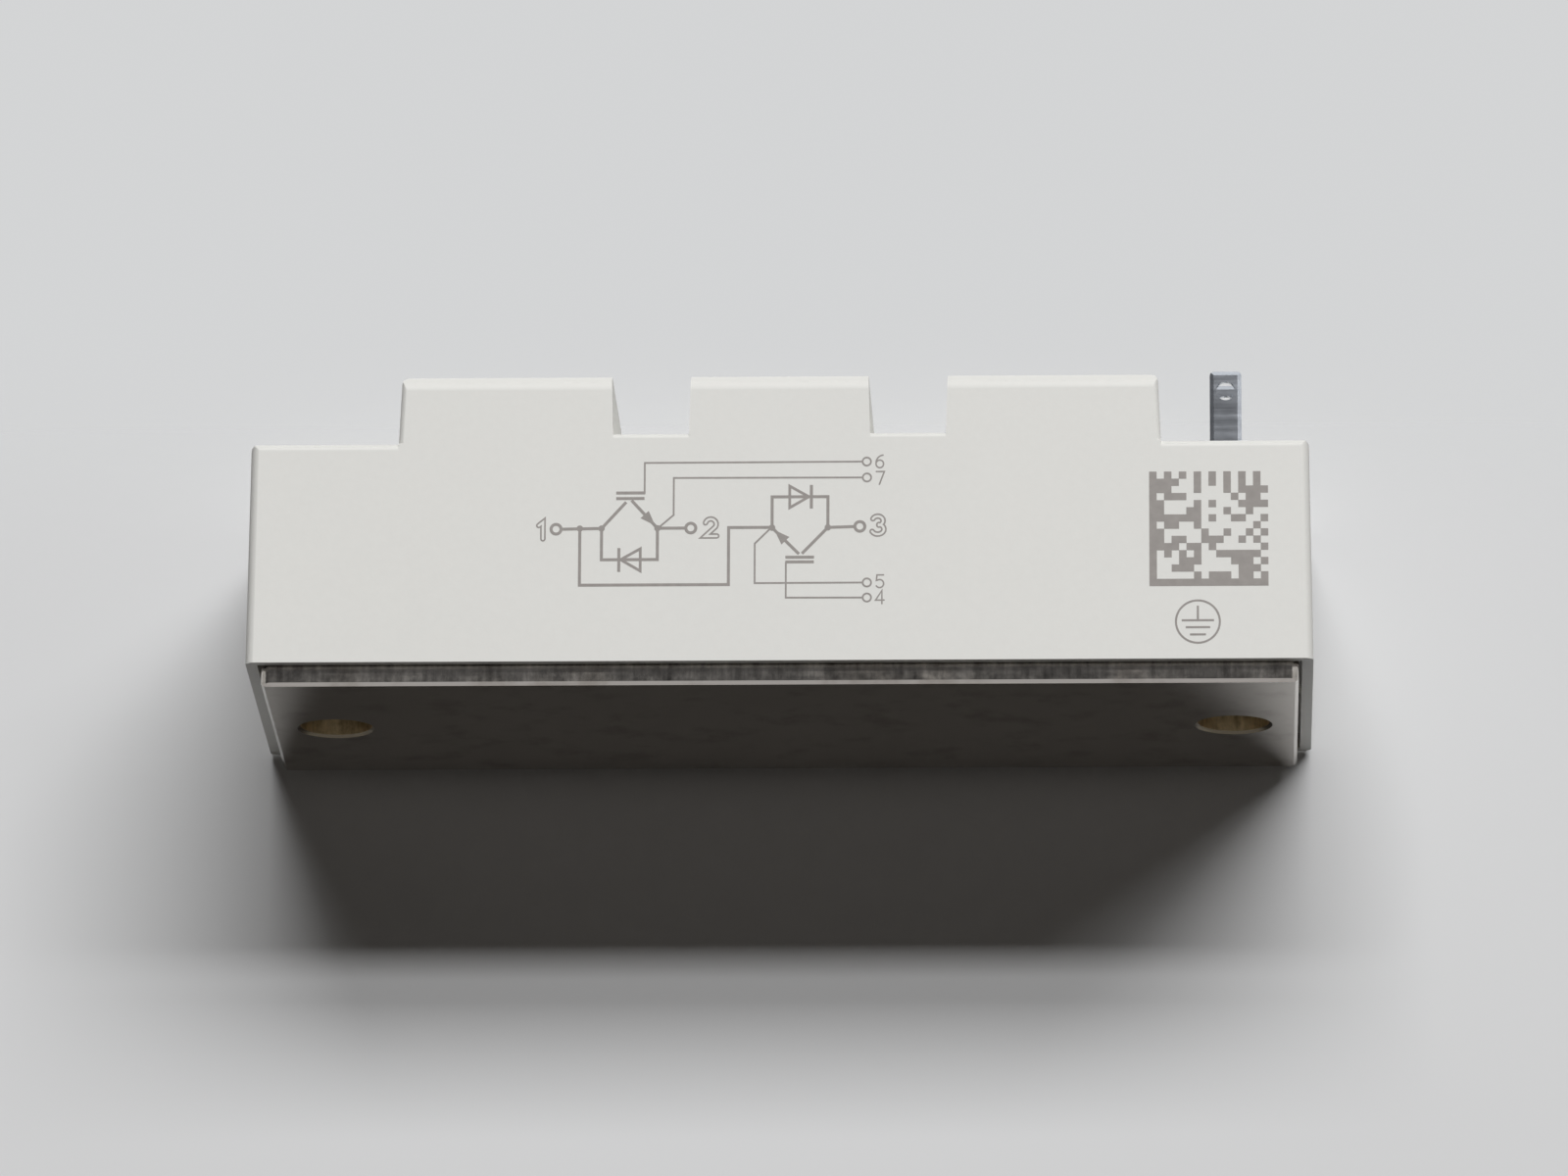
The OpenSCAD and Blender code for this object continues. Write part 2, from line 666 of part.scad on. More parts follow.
module diode_chip(high) {
    color([0.42, 0.42, 0.45]) on_board(high) slab(diode_pos, [diode_side, diode_side], chip_z, chip_t);
}

// An arched wire from a chip's top at start to a track, running at the angle given
module wire(start, span_l, angle) {
    translate([start[0], start[1], chip_top_z]) rotate(angle) {
        translate([span_l / 2, 0, 0]) rotate([90, 0, 0]) rotate_extrude(angle = 180)
            translate([span_l / 2, 0]) circle(d = wire_d, $fn = 16);
        translate([span_l, 0, track_top_z - chip_top_z])
            cylinder(h = chip_top_z - track_top_z, d = wire_d, $fn = 16);
    }
}

// Wires from both chips to the emitter's track, and one from the gate's track to the transistor
module bond_wires(high) {
    gate_end = [gate_track_w / 2 - gate_x, rail_y + gate_track_w / 2];
    gate_start = [igbt_pos[0] - igbt_side / 2 + wire_inset, igbt_pos[1] + igbt_side / 2 - 2 * wire_inset];
    gate_line = gate_end - gate_start;
    color([0.85, 0.86, 0.88]) on_board(high) {
        for (i = [-2:3]) wire([igbt_pos[0] + (i - 0.5) * wire_pitch + wire_inset, wire_start_y], wire_span, 90);
        for (i = [-1:2]) wire([diode_pos[0] + (i - 0.5) * wire_pitch, wire_start_y], wire_span, 90);
        wire(gate_start, norm(gate_line), atan2(gate_line[1], gate_line[0]));
    }
}

// Strap from the low side's collector track to the high side's emitter track
module midpoint_link() {
    reach = board_x + copper_edge + link_reach;
    color(copper) translate([0, link_y, 0]) along_y(link_w) difference() {
        translate([-reach, track_top_z]) square([2 * reach, link_z - track_top_z]);
        translate([-reach + link_t, 0]) square([2 * reach - 2 * link_t, link_z - link_t]);
    }
}

// Soft filling over the circuit, with room for the boards, the wires and every leg
module silicone_gel() {
    color([0.90, 0.93, 0.95, 0.5]) difference() {
        span([-inner_l, -inner_w, plate_t + glue_t], [inner_l, inner_w, gel_z]);
        span([-board_x - board_l, -board_w / 2, 0],
            [board_x + board_l, board_w / 2, wire_top_z + board_solder_t]);
        for (s = [-1, 1]) translate([s * mount_x, 0, 0]) cylinder(h = gel_z + cut, r = tube_r);
        for (i = [0:2]) {
            foot_x = (i - 1) * terminal_pitch + foot_shifts[i];
            span([foot_x - foot_w / 2, leg_y, 0], [foot_x + foot_w / 2, leg_back_y, gel_z + cut]);
        }
        for (i = [0:3]) span([lead_xs[i], tab_ys[i] - tab_t / 2, 0],
            [lead_xs[i] + lead_w, tab_ys[i] + tab_t / 2, gel_z + cut]);
    }
}

housing();
base_plate();
adhesive_bead();
silicone_gel();
terminal_1();
terminal_2();
terminal_3();
terminal_nuts();
tab_4();
tab_5();
tab_6();
tab_7();
plate_solder(false);  // plate_solder_low_side
lower_copper(false);  // lower_copper_low_side
ceramic(false);  // ceramic_low_side
collector_track(false);  // collector_track_low_side
emitter_track(false);  // emitter_track_low_side
gate_track(false);  // gate_track_low_side
chip_solder(false);  // chip_solder_low_side
igbt_chip(false);  // igbt_chip_low_side
diode_chip(false);  // diode_chip_low_side
bond_wires(false);  // bond_wires_low_side
plate_solder(true);  // plate_solder_high_side
lower_copper(true);  // lower_copper_high_side
ceramic(true);  // ceramic_high_side
collector_track(true);  // collector_track_high_side
emitter_track(true);  // emitter_track_high_side
gate_track(true);  // gate_track_high_side
chip_solder(true);  // chip_solder_high_side
igbt_chip(true);  // igbt_chip_high_side
diode_chip(true);  // diode_chip_high_side
bond_wires(true);  // bond_wires_high_side
midpoint_link();
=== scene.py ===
"""Finish and studio of a half-bridge power module: materials, printed circuit, nuts and stage."""

import math
import random

import bpy
from mathutils import Matrix, Vector
from mathutils.geometry import delaunay_2d_cdt


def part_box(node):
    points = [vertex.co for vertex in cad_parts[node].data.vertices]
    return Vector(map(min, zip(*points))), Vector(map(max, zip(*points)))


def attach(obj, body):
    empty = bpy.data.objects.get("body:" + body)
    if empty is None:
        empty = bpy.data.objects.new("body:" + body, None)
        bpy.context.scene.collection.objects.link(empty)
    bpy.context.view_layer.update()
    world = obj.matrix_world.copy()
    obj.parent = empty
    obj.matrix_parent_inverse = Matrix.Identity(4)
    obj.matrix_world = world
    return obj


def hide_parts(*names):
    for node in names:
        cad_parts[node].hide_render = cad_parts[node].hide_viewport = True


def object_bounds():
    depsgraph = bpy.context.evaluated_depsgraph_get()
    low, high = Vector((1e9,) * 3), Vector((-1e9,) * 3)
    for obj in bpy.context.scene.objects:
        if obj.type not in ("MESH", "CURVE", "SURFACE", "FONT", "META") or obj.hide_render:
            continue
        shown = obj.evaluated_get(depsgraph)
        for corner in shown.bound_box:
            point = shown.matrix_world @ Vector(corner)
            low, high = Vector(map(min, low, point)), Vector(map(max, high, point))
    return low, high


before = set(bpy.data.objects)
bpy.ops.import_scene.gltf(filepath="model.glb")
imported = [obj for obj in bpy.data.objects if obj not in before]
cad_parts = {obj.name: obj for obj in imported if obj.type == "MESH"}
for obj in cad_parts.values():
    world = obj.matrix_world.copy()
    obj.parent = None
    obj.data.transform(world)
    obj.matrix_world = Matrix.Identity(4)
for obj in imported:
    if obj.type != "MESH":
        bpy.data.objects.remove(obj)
CAD_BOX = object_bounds()

bl_info = {
    "name": "Power module finish",
    "version": (1, 0, 0),
    "blender": (4, 5, 0),
    "location": "View3D > Sidebar > Module",
    "description": "Finishes, prints and lights a half-bridge power module",
    "category": "Object",
}

MM = 0.001
HOUSING_LOW, HOUSING_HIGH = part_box("housing")
PLATE_LOW, PLATE_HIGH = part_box("base_plate")
NUTS_LOW, NUTS_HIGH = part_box("terminal_nuts")
HOLE_TO_END = 5.7 * MM     # from a mounting hole's axis to the end of the base plate
HOLE_ZONE = 3.9 * MM       # round a mounting hole's axis, taking in its chamfer
STAGE_GAP = 0.2 * MM       # between the module and the floor or the table
MOUNTING_HOLE_X = PLATE_HIGH.x - HOLE_TO_END
SIDE_DRAFT = math.radians(0.8)

# Second colours of the metals: stains on the plating, and painted shade on the chamfer round a
# drilled hole, which is also rougher
NICKEL_STAIN, HOLE_RIM_SHADE = (0.26, 0.22, 0.18), (0.13, 0.11, 0.08)
TERMINAL_STAIN, TIN_STAIN, ZINC_STAIN = (0.34, 0.30, 0.24), (0.24, 0.26, 0.30), (0.30, 0.29, 0.26)


# ---------------------------------------------------------------- sizes and colours

class ModuleFinish(bpy.types.PropertyGroup):
    """Colours and textures of the module's own surfaces"""
    plastic_colour: bpy.props.FloatVectorProperty(
        name="Plastic", description="Ivory of the case moulding",
        subtype="COLOR", size=3, min=0, max=1, default=(0.737, 0.733, 0.704))
    plastic_roughness: bpy.props.FloatProperty(
        name="Plastic roughness", description="Roughness of the eroded mould finish",
        subtype="FACTOR", min=0, max=1, default=0.52)
    ink_colour: bpy.props.FloatVectorProperty(
        name="Print", description="Warm grey of the laser print",
        subtype="COLOR", size=3, min=0, max=1, default=(0.300, 0.278, 0.262))
    nickel_colour: bpy.props.FloatVectorProperty(
        name="Nickel", description="Nickel plating of the screw terminals",
        subtype="COLOR", size=3, min=0, max=1, default=(0.640, 0.615, 0.570))
    plate_colour: bpy.props.FloatVectorProperty(
        name="Base plate", description="Rolled and nickel-plated sheet of the base plate",
        subtype="COLOR", size=3, min=0, max=1, default=(0.565, 0.530, 0.485))
    # the walls of the drilled holes get a browner, darker colour than the rest of the plate
    hole_colour: bpy.props.FloatVectorProperty(
        name="Hole walls", description="Thinly plated copper inside the drilled holes",
        subtype="COLOR", size=3, min=0, max=1, default=(0.500, 0.400, 0.250))
    tin_colour: bpy.props.FloatVectorProperty(
        name="Tin", description="Tin plating of the signal tabs",
        subtype="COLOR", size=3, min=0, max=1, default=(0.500, 0.525, 0.565))
    steel_colour: bpy.props.FloatVectorProperty(
        name="Steel", description="Zinc-plated steel of the nuts",
        subtype="COLOR", size=3, min=0, max=1, default=(0.560, 0.570, 0.580))


class ModulePrint(bpy.types.PropertyGroup):
    """Line widths of the print on the long side"""
    bold_line: bpy.props.FloatProperty(
        name="Bold line", description="Width of the power circuit's lines",
        unit="LENGTH", precision=5, min=0.05 * MM, max=1 * MM, default=0.27 * MM)
    fine_line: bpy.props.FloatProperty(
        name="Fine line", description="Width of the signal wires and small digits",
        unit="LENGTH", precision=5, min=0.05 * MM, max=1 * MM, default=0.16 * MM)
    ink_lift: bpy.props.FloatProperty(
        name="Ink thickness", description="Height of the ink over the plastic",
        unit="LENGTH", precision=6, min=0.001 * MM, max=0.05 * MM, default=0.012 * MM)
    cell_count: bpy.props.IntProperty(
        name="Cells", description="Cells along each side of the square field",
        min=4, max=40, default=16)
    cell_seed: bpy.props.IntProperty(
        name="Cell pattern", description="Random pattern of the square field", min=0, default=34)


class ModuleStage(bpy.types.PropertyGroup):
    """Studio round the module"""
    backdrop_colour: bpy.props.FloatVectorProperty(
        name="Backdrop", description="Pale grey behind and under the module",
        subtype="COLOR", size=3, min=0, max=1, default=(0.655, 0.662, 0.668))
    table_colour: bpy.props.FloatVectorProperty(
        name="Table", description="Pale table that takes the module's shadow",
        subtype="COLOR", size=3, min=0, max=1, default=(0.745, 0.750, 0.757))
    floor_colour: bpy.props.FloatVectorProperty(
        name="Floor", description="Pale floor under the module",
        subtype="COLOR", size=3, min=0, max=1, default=(0.620, 0.626, 0.632))
    fill_level: bpy.props.FloatProperty(
        name="Fill", description="Even light from all round", min=0, max=1, default=0.036)
    upper_power: bpy.props.FloatProperty(
        name="Upper window", description="Power of the narrow high window",
        unit="POWER", min=0, default=37.0)
    lower_power: bpy.props.FloatProperty(
        name="Lower window", description="Power of the broad lower window",
        unit="POWER", min=0, default=67.5)
    rear_power: bpy.props.FloatProperty(
        name="Rear panels", description="Power of each panel behind the module",
        unit="POWER", min=0, default=36.0)
    camera_distance: bpy.props.FloatProperty(
        name="Camera distance", description="Distance from the module to the camera",
        unit="LENGTH", min=0.2, default=1.2)
    camera_lens: bpy.props.FloatProperty(
        name="Lens", description="Focal length in millimetres", min=10, default=308.4)


# ---------------------------------------------------------------- shader helpers

def add_node(tree, kind, **settings):
    """A new node of that kind, with its own settings"""
    node = tree.nodes.new(kind)
    for key, value in settings.items():
        setattr(node, key, value)
    return node


def number(tree, operation, a, b=None):
    """A Math node between two sockets or numbers, and its result"""
    node = add_node(tree, "ShaderNodeMath", operation=operation)
    for i, value in enumerate((a, b)):
        if value is None:
            continue
        if isinstance(value, (int, float)):
            node.inputs[i].default_value = value
        else:
            tree.links.new(value, node.inputs[i])
    return node.outputs[0]


def ramp_between(tree, value, low, high):
    """0 below low, 1 above high, and a smooth slope between them"""
    node = add_node(tree, "ShaderNodeMapRange", clamp=True, interpolation_type="SMOOTHSTEP")
    tree.links.new(value, node.inputs["Value"])
    node.inputs["From Min"].default_value = low
    node.inputs["From Max"].default_value = high
    return node.outputs["Result"]


def mix_colour(tree, share, a, b):
    """A blend of two colours, each a socket or a plain colour, by the share in a socket"""
    node = add_node(tree, "ShaderNodeMix", data_type="RGBA")
    tree.links.new(share, node.inputs[0])
    for socket, value in ((node.inputs[6], a), (node.inputs[7], b)):
        if hasattr(value, "is_linked"):
            tree.links.new(value, socket)
        else:
            socket.default_value = (*value, 1)
    return node.outputs[2]


def object_place(tree, stretch=(1, 1, 1)):
    """Place on the object in metres, stretched along its axes"""
    place = add_node(tree, "ShaderNodeTexCoord")
    mapping = add_node(tree, "ShaderNodeMapping")
    mapping.inputs["Scale"].default_value = stretch
    tree.links.new(place.outputs["Object"], mapping.inputs["Vector"])
    return mapping.outputs["Vector"]


def noise(tree, vector, scale, detail=2.0, roughness=0.5):
    """Noise from 0 to 1, with that many cells a metre"""
    node = add_node(tree, "ShaderNodeTexNoise")
    node.inputs["Scale"].default_value = scale
    node.inputs["Detail"].default_value = detail
    node.inputs["Roughness"].default_value = roughness
    tree.links.new(vector, node.inputs["Vector"])
    return node.outputs["Fac"]


def varied(tree, colour, change):
    """A colour made lighter or darker by a socket's share of itself"""
    tint = add_node(tree, "ShaderNodeVectorMath", operation="SCALE")
    tree.links.new(colour, tint.inputs[0])
    tree.links.new(number(tree, "ADD", change, 1.0), tint.inputs["Scale"])
    return tint.outputs[0]


def around_zero(tree, value):
    """A noise's value moved from 0..1 to -0.5..0.5"""
    return number(tree, "SUBTRACT", value, 0.5)


def new_group(name, inputs, outputs):
    """An empty shader group with named sockets, and its two end nodes"""
    group = bpy.data.node_groups.new(name, "ShaderNodeTree")
    for socket, kind, default in inputs:
        made = group.interface.new_socket(name=socket, in_out="INPUT", socket_type=kind)
        made.default_value = default
    for socket, kind in outputs:
        group.interface.new_socket(name=socket, in_out="OUTPUT", socket_type=kind)
    return group, group.nodes.new("NodeGroupInput"), group.nodes.new("NodeGroupOutput")


def mould_grain():
    """Group: fine eroded grain and faint flow clouds of a moulding"""
    name = "mould grain"
    if name in bpy.data.node_groups:
        return bpy.data.node_groups[name]
    group, start, end = new_group(name, [
        ("Colour", "NodeSocketColor", (0.8, 0.8, 0.8, 1)),
        ("Cloud depth", "NodeSocketFloat", 0.03),
        ("Roughness", "NodeSocketFloat", 0.5)],
        [("Colour", "NodeSocketColor"), ("Roughness", "NodeSocketFloat"),
         ("Height", "NodeSocketFloat")])
    place = object_place(group)
    depth = start.outputs["Cloud depth"]
    clouds = noise(group, place, scale=90, detail=3.0, roughness=0.55)
    specks = noise(group, place, scale=1500, detail=1.0)
    grain = noise(group, place, scale=5200, detail=1.0)
    cloudy = number(group, "MULTIPLY", around_zero(group, clouds), depth)
    speckled = number(group, "MULTIPLY", around_zero(group, specks), depth)
    change = number(group, "ADD", cloudy, speckled)
    group.links.new(varied(group, start.outputs["Colour"], change), end.inputs["Colour"])
    rough = number(group, "ADD", number(group, "MULTIPLY", cloudy, 2.0), start.outputs["Roughness"])
    group.links.new(rough, end.inputs["Roughness"])
    group.links.new(grain, end.inputs["Height"])
    return group


def plate_marks():
    """Group: rolling streaks, plating clouds and stains of a plated sheet"""
    name = "plate marks"
    if name in bpy.data.node_groups:
        return bpy.data.node_groups[name]
    group, start, end = new_group(name, [
        ("Colour", "NodeSocketColor", (0.6, 0.6, 0.6, 1)),
        ("Stain", "NodeSocketColor", (0.3, 0.25, 0.2, 1)),
        ("Stain share", "NodeSocketFloat", 0.2),
        ("Roughness", "NodeSocketFloat", 0.25),
        ("Streaks", "NodeSocketFloat", 0.1)],
        [("Colour", "NodeSocketColor"), ("Roughness", "NodeSocketFloat"),
         ("Height", "NodeSocketFloat")])
    rolled = (0.04, 1, 1)
    along = noise(group, object_place(group, rolled), scale=2600, roughness=0.6)
    place = object_place(group)
    clouds = noise(group, place, scale=160, detail=4.0, roughness=0.6)
    pits = noise(group, place, scale=1400, roughness=0.6)
    stained = ramp_between(group, clouds, 0.48, 0.72)
    stained = number(group, "MULTIPLY", stained, start.outputs["Stain share"])
    colour = mix_colour(group, stained, start.outputs["Colour"], start.outputs["Stain"])
    group.links.new(colour, end.inputs["Colour"])
    streak = number(group, "MULTIPLY", around_zero(group, along), start.outputs["Streaks"])
    cloud = number(group, "MULTIPLY", around_zero(group, clouds), 0.16)
    rough = number(group, "ADD", number(group, "ADD", streak, cloud), start.outputs["Roughness"])
    group.links.new(rough, end.inputs["Roughness"])
    height = number(group, "ADD", number(group, "MULTIPLY", along, start.outputs["Streaks"]),
                    number(group, "MULTIPLY", pits, 0.25))
    group.links.new(height, end.inputs["Height"])
    return group


def new_material(name, **sockets):
    """A material with one Principled shader, and plain values on its own sockets"""
    material = bpy.data.materials.new(name)
    material.use_nodes = True
    tree = material.node_tree
    shader = tree.nodes["Principled BSDF"]
    for key, value in sockets.items():
        socket = shader.inputs[key.replace("_", " ")]
        socket.default_value = (*value, 1) if isinstance(value, tuple) else value
    return material, tree, shader


def place_group(tree, group, shader, bump, reach, **values):
    """Puts a group in a material, and feeds colour, roughness and bump from it"""
    node = add_node(tree, "ShaderNodeGroup", node_tree=group)
    for key, value in values.items():
        socket = node.inputs[key.replace("_", " ")]
        socket.default_value = (*value, 1) if isinstance(value, tuple) else value
    tree.links.new(node.outputs["Colour"], shader.inputs["Base Color"])
    tree.links.new(node.outputs["Roughness"], shader.inputs["Roughness"])
    bumps = add_node(tree, "ShaderNodeBump")
    bumps.inputs["Strength"].default_value = bump
    bumps.inputs["Distance"].default_value = reach
    tree.links.new(node.outputs["Height"], bumps.inputs["Height"])
    tree.links.new(bumps.outputs["Normal"], shader.inputs["Normal"])


def plastic(name, colour, roughness, clouds=0.035, bump=0.18):
    """Matt moulded plastic"""
    material, tree, shader = new_material(name, Specular_IOR_Level=0.4)
    place_group(tree, mould_grain(), shader, bump, reach=0.02 * MM,
                Colour=tuple(colour), Cloud_depth=clouds, Roughness=roughness)
    return material


def plated(name, colour, stain, share, roughness, streaks=0.12, bump=0.2):
    """Plated or bare sheet metal"""
    material, tree, shader = new_material(name, Metallic=1.0)
    place_group(tree, plate_marks(), shader, bump, reach=0.01 * MM, Colour=tuple(colour),
                Stain=tuple(stain), Stain_share=share, Roughness=roughness, Streaks=streaks)
    return material, tree, shader


def give(node, material):
    """Puts a material on a node of the frame"""
    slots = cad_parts[node].material_slots
    if not slots:
        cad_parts[node].data.materials.append(material)
        return
    for slot in slots:
        slot.material = material


def new_piece(name, vertices, faces, material):
    """A closed flat-shaded mesh of the module's own, riding on its only body"""
    mesh = bpy.data.meshes.new(name)
    mesh.from_pydata(vertices, [], faces)
    mesh.validate()
    mesh.materials.append(material)
    for face in mesh.polygons:
        face.use_smooth = False
    piece = bpy.data.objects.new(name, mesh)
    bpy.context.scene.collection.objects.link(piece)
    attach(piece, "root")
    return piece


# ---------------------------------------------------------------- print on the long side

def stroke(points, width, closed=False):
    """Quads of a line through points, mitred where it turns"""
    sharpest_mitre = 0.35
    spots = [Vector(p) for p in points]
    count = len(spots)

    def direction(i, j):
        return (spots[j] - spots[i]).normalized()

    sides = []
    for i in range(count):
        before = direction(i - 1, i) if closed or i else None
        after = direction(i, (i + 1) % count) if closed or i < count - 1 else None
        before, after = before or after, after or before
        along = (before + after).normalized()
        across = Vector((-along.y, along.x))
        reach = width / 2 / max(sharpest_mitre, across.dot(Vector((-before.y, before.x))))
        sides.append((spots[i] + across * reach, spots[i] - across * reach))
    quads = []
    for i in range(count if closed else count - 1):
        a, b = sides[i], sides[(i + 1) % count]
        quads.append([a[1], b[1], b[0], a[0]])
    return quads


def arc(centre, radius, start, stop, steps=14):
    """Points on an arc between two angles in degrees; radius may be a pair"""
    wide, high = radius if isinstance(radius, tuple) else (radius, radius)
    turns = [math.radians(start + (stop - start) * i / steps) for i in range(steps + 1)]
    return [(centre[0] + wide * math.cos(t), centre[1] + high * math.sin(t)) for t in turns]


def circle(centre, radius, steps):
    """Points round a circle, without its first point again at the end"""
    return arc(centre, radius, 0, 360 * (steps - 1) / steps, steps - 1)


def ring(centre, radius, width, steps=28):
    """Quads of a circle drawn with a line of that width"""
    return stroke(circle(centre, radius, steps), width, closed=True)


def disc(centre, radius, steps=16):
    """One round polygon"""
    return [circle(centre, radius, steps)]


def face_y(z):
    """Place of the printed long side at height z, in metres"""
    return -HOUSING_HIGH.y + (z - HOUSING_LOW.z) * math.tan(SIDE_DRAFT)


def covers(shape, spot):
    """True where a flat shape holds the spot"""
    inside = False
    for a, b in zip(shape, shape[1:] + shape[:1]):
        if (a[1] > spot.y) != (b[1] > spot.y):
            if spot.x < a[0] + (b[0] - a[0]) * (spot.y - a[1]) / (b[1] - a[1]):
                inside = not inside
    return inside


def print_piece(name, areas, material, lift, holes=()):
    """Joins flat areas in millimetres into one thin closed piece on the long side"""
    areas, holes = ([list(map(tuple, s)) for s in group] for group in (areas, holes))
    points, faces = [], []
    for shape in areas + holes:
        faces.append(list(range(len(points), len(points) + len(shape))))
        points += [Vector(p) for p in shape]
    inside_only, weld = 1, 1e-5
    flat, _, tiles = delaunay_2d_cdt(points, [], faces, inside_only, weld)[:3]
    middles = [sum((flat[i] for i in t), Vector((0, 0))) / len(t) for t in tiles]
    kept = [t for t, m in zip(tiles, middles)
            if any(covers(s, m) for s in areas) and not any(covers(s, m) for s in holes)]
    used = sorted({i for t in kept for i in t})
    number_of = {old: new for new, old in enumerate(used)}
    kept = [[number_of[i] for i in t] for t in kept]
    corners = [flat[i] for i in used]
    kept = [t if turning(corners, t) > 0 else t[::-1] for t in kept]
    count = len(corners)
    front = [(p.x * MM, face_y(p.y * MM) - lift, p.y * MM) for p in corners]
    back = [(p.x * MM, face_y(p.y * MM) + lift, p.y * MM) for p in corners]
    edges = {(t[i], t[(i + 1) % len(t)]) for t in kept for i in range(len(t))}
    sides = [(b, a, a + count, b + count) for a, b in edges if (b, a) not in edges]
    under = [tuple(i + count for i in reversed(t)) for t in kept]
    return new_piece(name, front + back, [tuple(t) for t in kept] + under + sides, material)


def turning(points, face):
    """Above 0 where the face's corners run anticlockwise, below 0 where they run clockwise"""
    a, b, c = (points[i] for i in face[:3])
    return (b - a).cross(c - a)


def arrow_head(tip, tail, width):
    """A solid arrow head from tail to tip"""
    tip, tail = Vector(tip), Vector(tail)
    along = (tip - tail).normalized()
    across = Vector((-along.y, along.x)) * width / 2
    return [[tail - across, tip, tail + across]]


# Lines of the circuit, in millimetres from the module's middle and its mounting face
RAIL_Z = 13.9
TERMINAL_RINGS = ((-19.68, 13.85), (-7.79, RAIL_Z), (7.12, 13.98))
SIGNAL_RINGS = ((7.75, 7.48), (7.75, 8.85), (7.72, 19.92), (7.74, 18.46))
BIG_RING, SMALL_RING, JOINT_DOT = 0.44, 0.37, 0.29


def power_lines(bold):
    """Terminals, both switches, their diodes and the links between them"""
    left, mid, right, low = -17.58, -15.66, -10.73, 11.04
    second_left, second_right = -0.62, 4.30
    diode_line, head = bold * 0.9, 0.98
    shapes = []
    for line in (
        [(-19.18, 13.85), (mid, RAIL_Z)],
        [(mid, RAIL_Z), (-13.50, 16.30)],
        [(-13.03, 16.46), (right, RAIL_Z)],
        [(-14.39, 16.63), (-11.89, 16.63)],
        [(-14.39, 17.14), (-11.82, 17.14)],
        [(right, RAIL_Z), (-8.27, RAIL_Z)],
        [(mid, RAIL_Z), (mid, low), (right, low), (right, RAIL_Z)],
        [(-14.12, 12.10), (-14.12, 9.92)],
        [(left, RAIL_Z), (left, 8.72), (-4.45, 8.72), (-4.45, 13.93),
         (second_left, 13.93)],
        [(second_left, RAIL_Z), (second_left, 16.72), (second_right, 16.72),
         (second_right, RAIL_Z)],
        [(2.84, 17.80), (2.84, 15.64)],
        [(second_right, RAIL_Z), (6.64, 13.97)],
        [(second_left, RAIL_Z), (1.76, 11.48)],
        [(2.02, 11.52), (second_right, RAIL_Z)],
        [(0.56, 11.19), (3.09, 11.19)],
        [(0.56, 10.76), (3.07, 10.76)],
    ):
        shapes += stroke(line, bold)
    shapes += stroke([(-12.23, 12.03), (-12.23, 10.00), (-13.97, low)], diode_line, closed=True)
    shapes += stroke([(0.93, 17.70), (0.93, 15.72), (2.62, 16.72)], diode_line, closed=True)
    shapes += arrow_head((-10.94, 14.16), (-11.87, 15.16), head)
    shapes += arrow_head((-0.40, 13.68), (0.56, 12.70), head)
    for x in (left, mid, right, second_left, second_right):
        shapes += disc((x, RAIL_Z), JOINT_DOT)
    for centre in TERMINAL_RINGS:
        shapes += ring(centre, BIG_RING, bold)
    return shapes


def signal_lines(fine):
    """Gate and sense wires out to the four tabs"""
    low_gate, low_sense, high_gate, high_sense = SIGNAL_RINGS
    shapes = []
    for line in (
        [(-11.88, 17.10), (-11.88, 19.89), (high_gate[0] - SMALL_RING, high_gate[1])],
        [(-10.52, 14.05), (-9.31, 15.10), (-9.31, 18.50),
         (high_sense[0] - SMALL_RING, high_sense[1])],
        [(0.61, 10.78), (0.61, 7.50), (low_gate[0] - SMALL_RING, low_gate[1])],
        [(-0.80, 13.80), (-2.14, 12.45), (-2.14, 8.84),
         (low_sense[0] - SMALL_RING, low_sense[1])],
    ):
        shapes += stroke(line, fine)
    for centre in SIGNAL_RINGS:
        shapes += ring(centre, SMALL_RING, fine)
    return shapes


def digit_paths(digit):
    """Centre lines of a digit in a field one wide and 1.45 high"""
    return {
        "1": [[(0.18, 1.12), (0.50, 1.38), (0.50, 0.08)]],
        "2": [arc((0.50, 0.98), (0.40, 0.40), 165, -30, 10) + [(0.10, 0.08), (0.95, 0.08)]],
        "3": [arc((0.45, 1.05), (0.38, 0.34), 155, -78, 12),
              arc((0.45, 0.42), (0.44, 0.36), 80, -155, 12)],
        "4": [[(0.95, 0.38), (0.06, 0.38), (0.72, 1.42), (0.72, 0.0)]],
        "5": [[(0.88, 1.40), (0.20, 1.40), (0.14, 0.80)]
              + arc((0.48, 0.46), (0.42, 0.44), 125, -145, 12)],
        "6": [arc((0.50, 0.44), (0.40, 0.42), 0, 330, 16) + [(0.90, 0.44)],
              arc((0.90, 0.52), (0.80, 0.88), 95, 180, 8)],
        "7": [[(0.08, 1.40), (0.92, 1.40), (0.40, 0.0)]],
    }[digit]


def digit_areas(digit, corner, size, width):
    """A digit's strokes with its low left corner and its width given in millimetres"""
    shapes = []
    for path in digit_paths(digit):
        placed = [(corner[0] + x * size, corner[1] + z * size) for x, z in path]
        shapes += stroke(placed, width)
        for end in (placed[0], placed[-1]):
            shapes += disc(end, width / 2, 12)
    return shapes


def earth_lines(fine):
    """Protective-earth sign: a ring, a stem and three bars"""
    x, z = 36.86, 5.15
    ring_radius, ring_line, bar_line = 1.93, fine * 1.15, fine * 1.2
    top, first_bar = z + 1.45, z + 0.12
    shapes = ring((x, z), ring_radius, ring_line, 48) + stroke([(x, top), (x, first_bar)], bar_line)
    for height, half in ((first_bar, 1.42), (z - 0.51, 1.08), (z - 1.17, 0.70)):
        shapes += stroke([(x - half, height), (x + half, height)], bar_line)
    return shapes


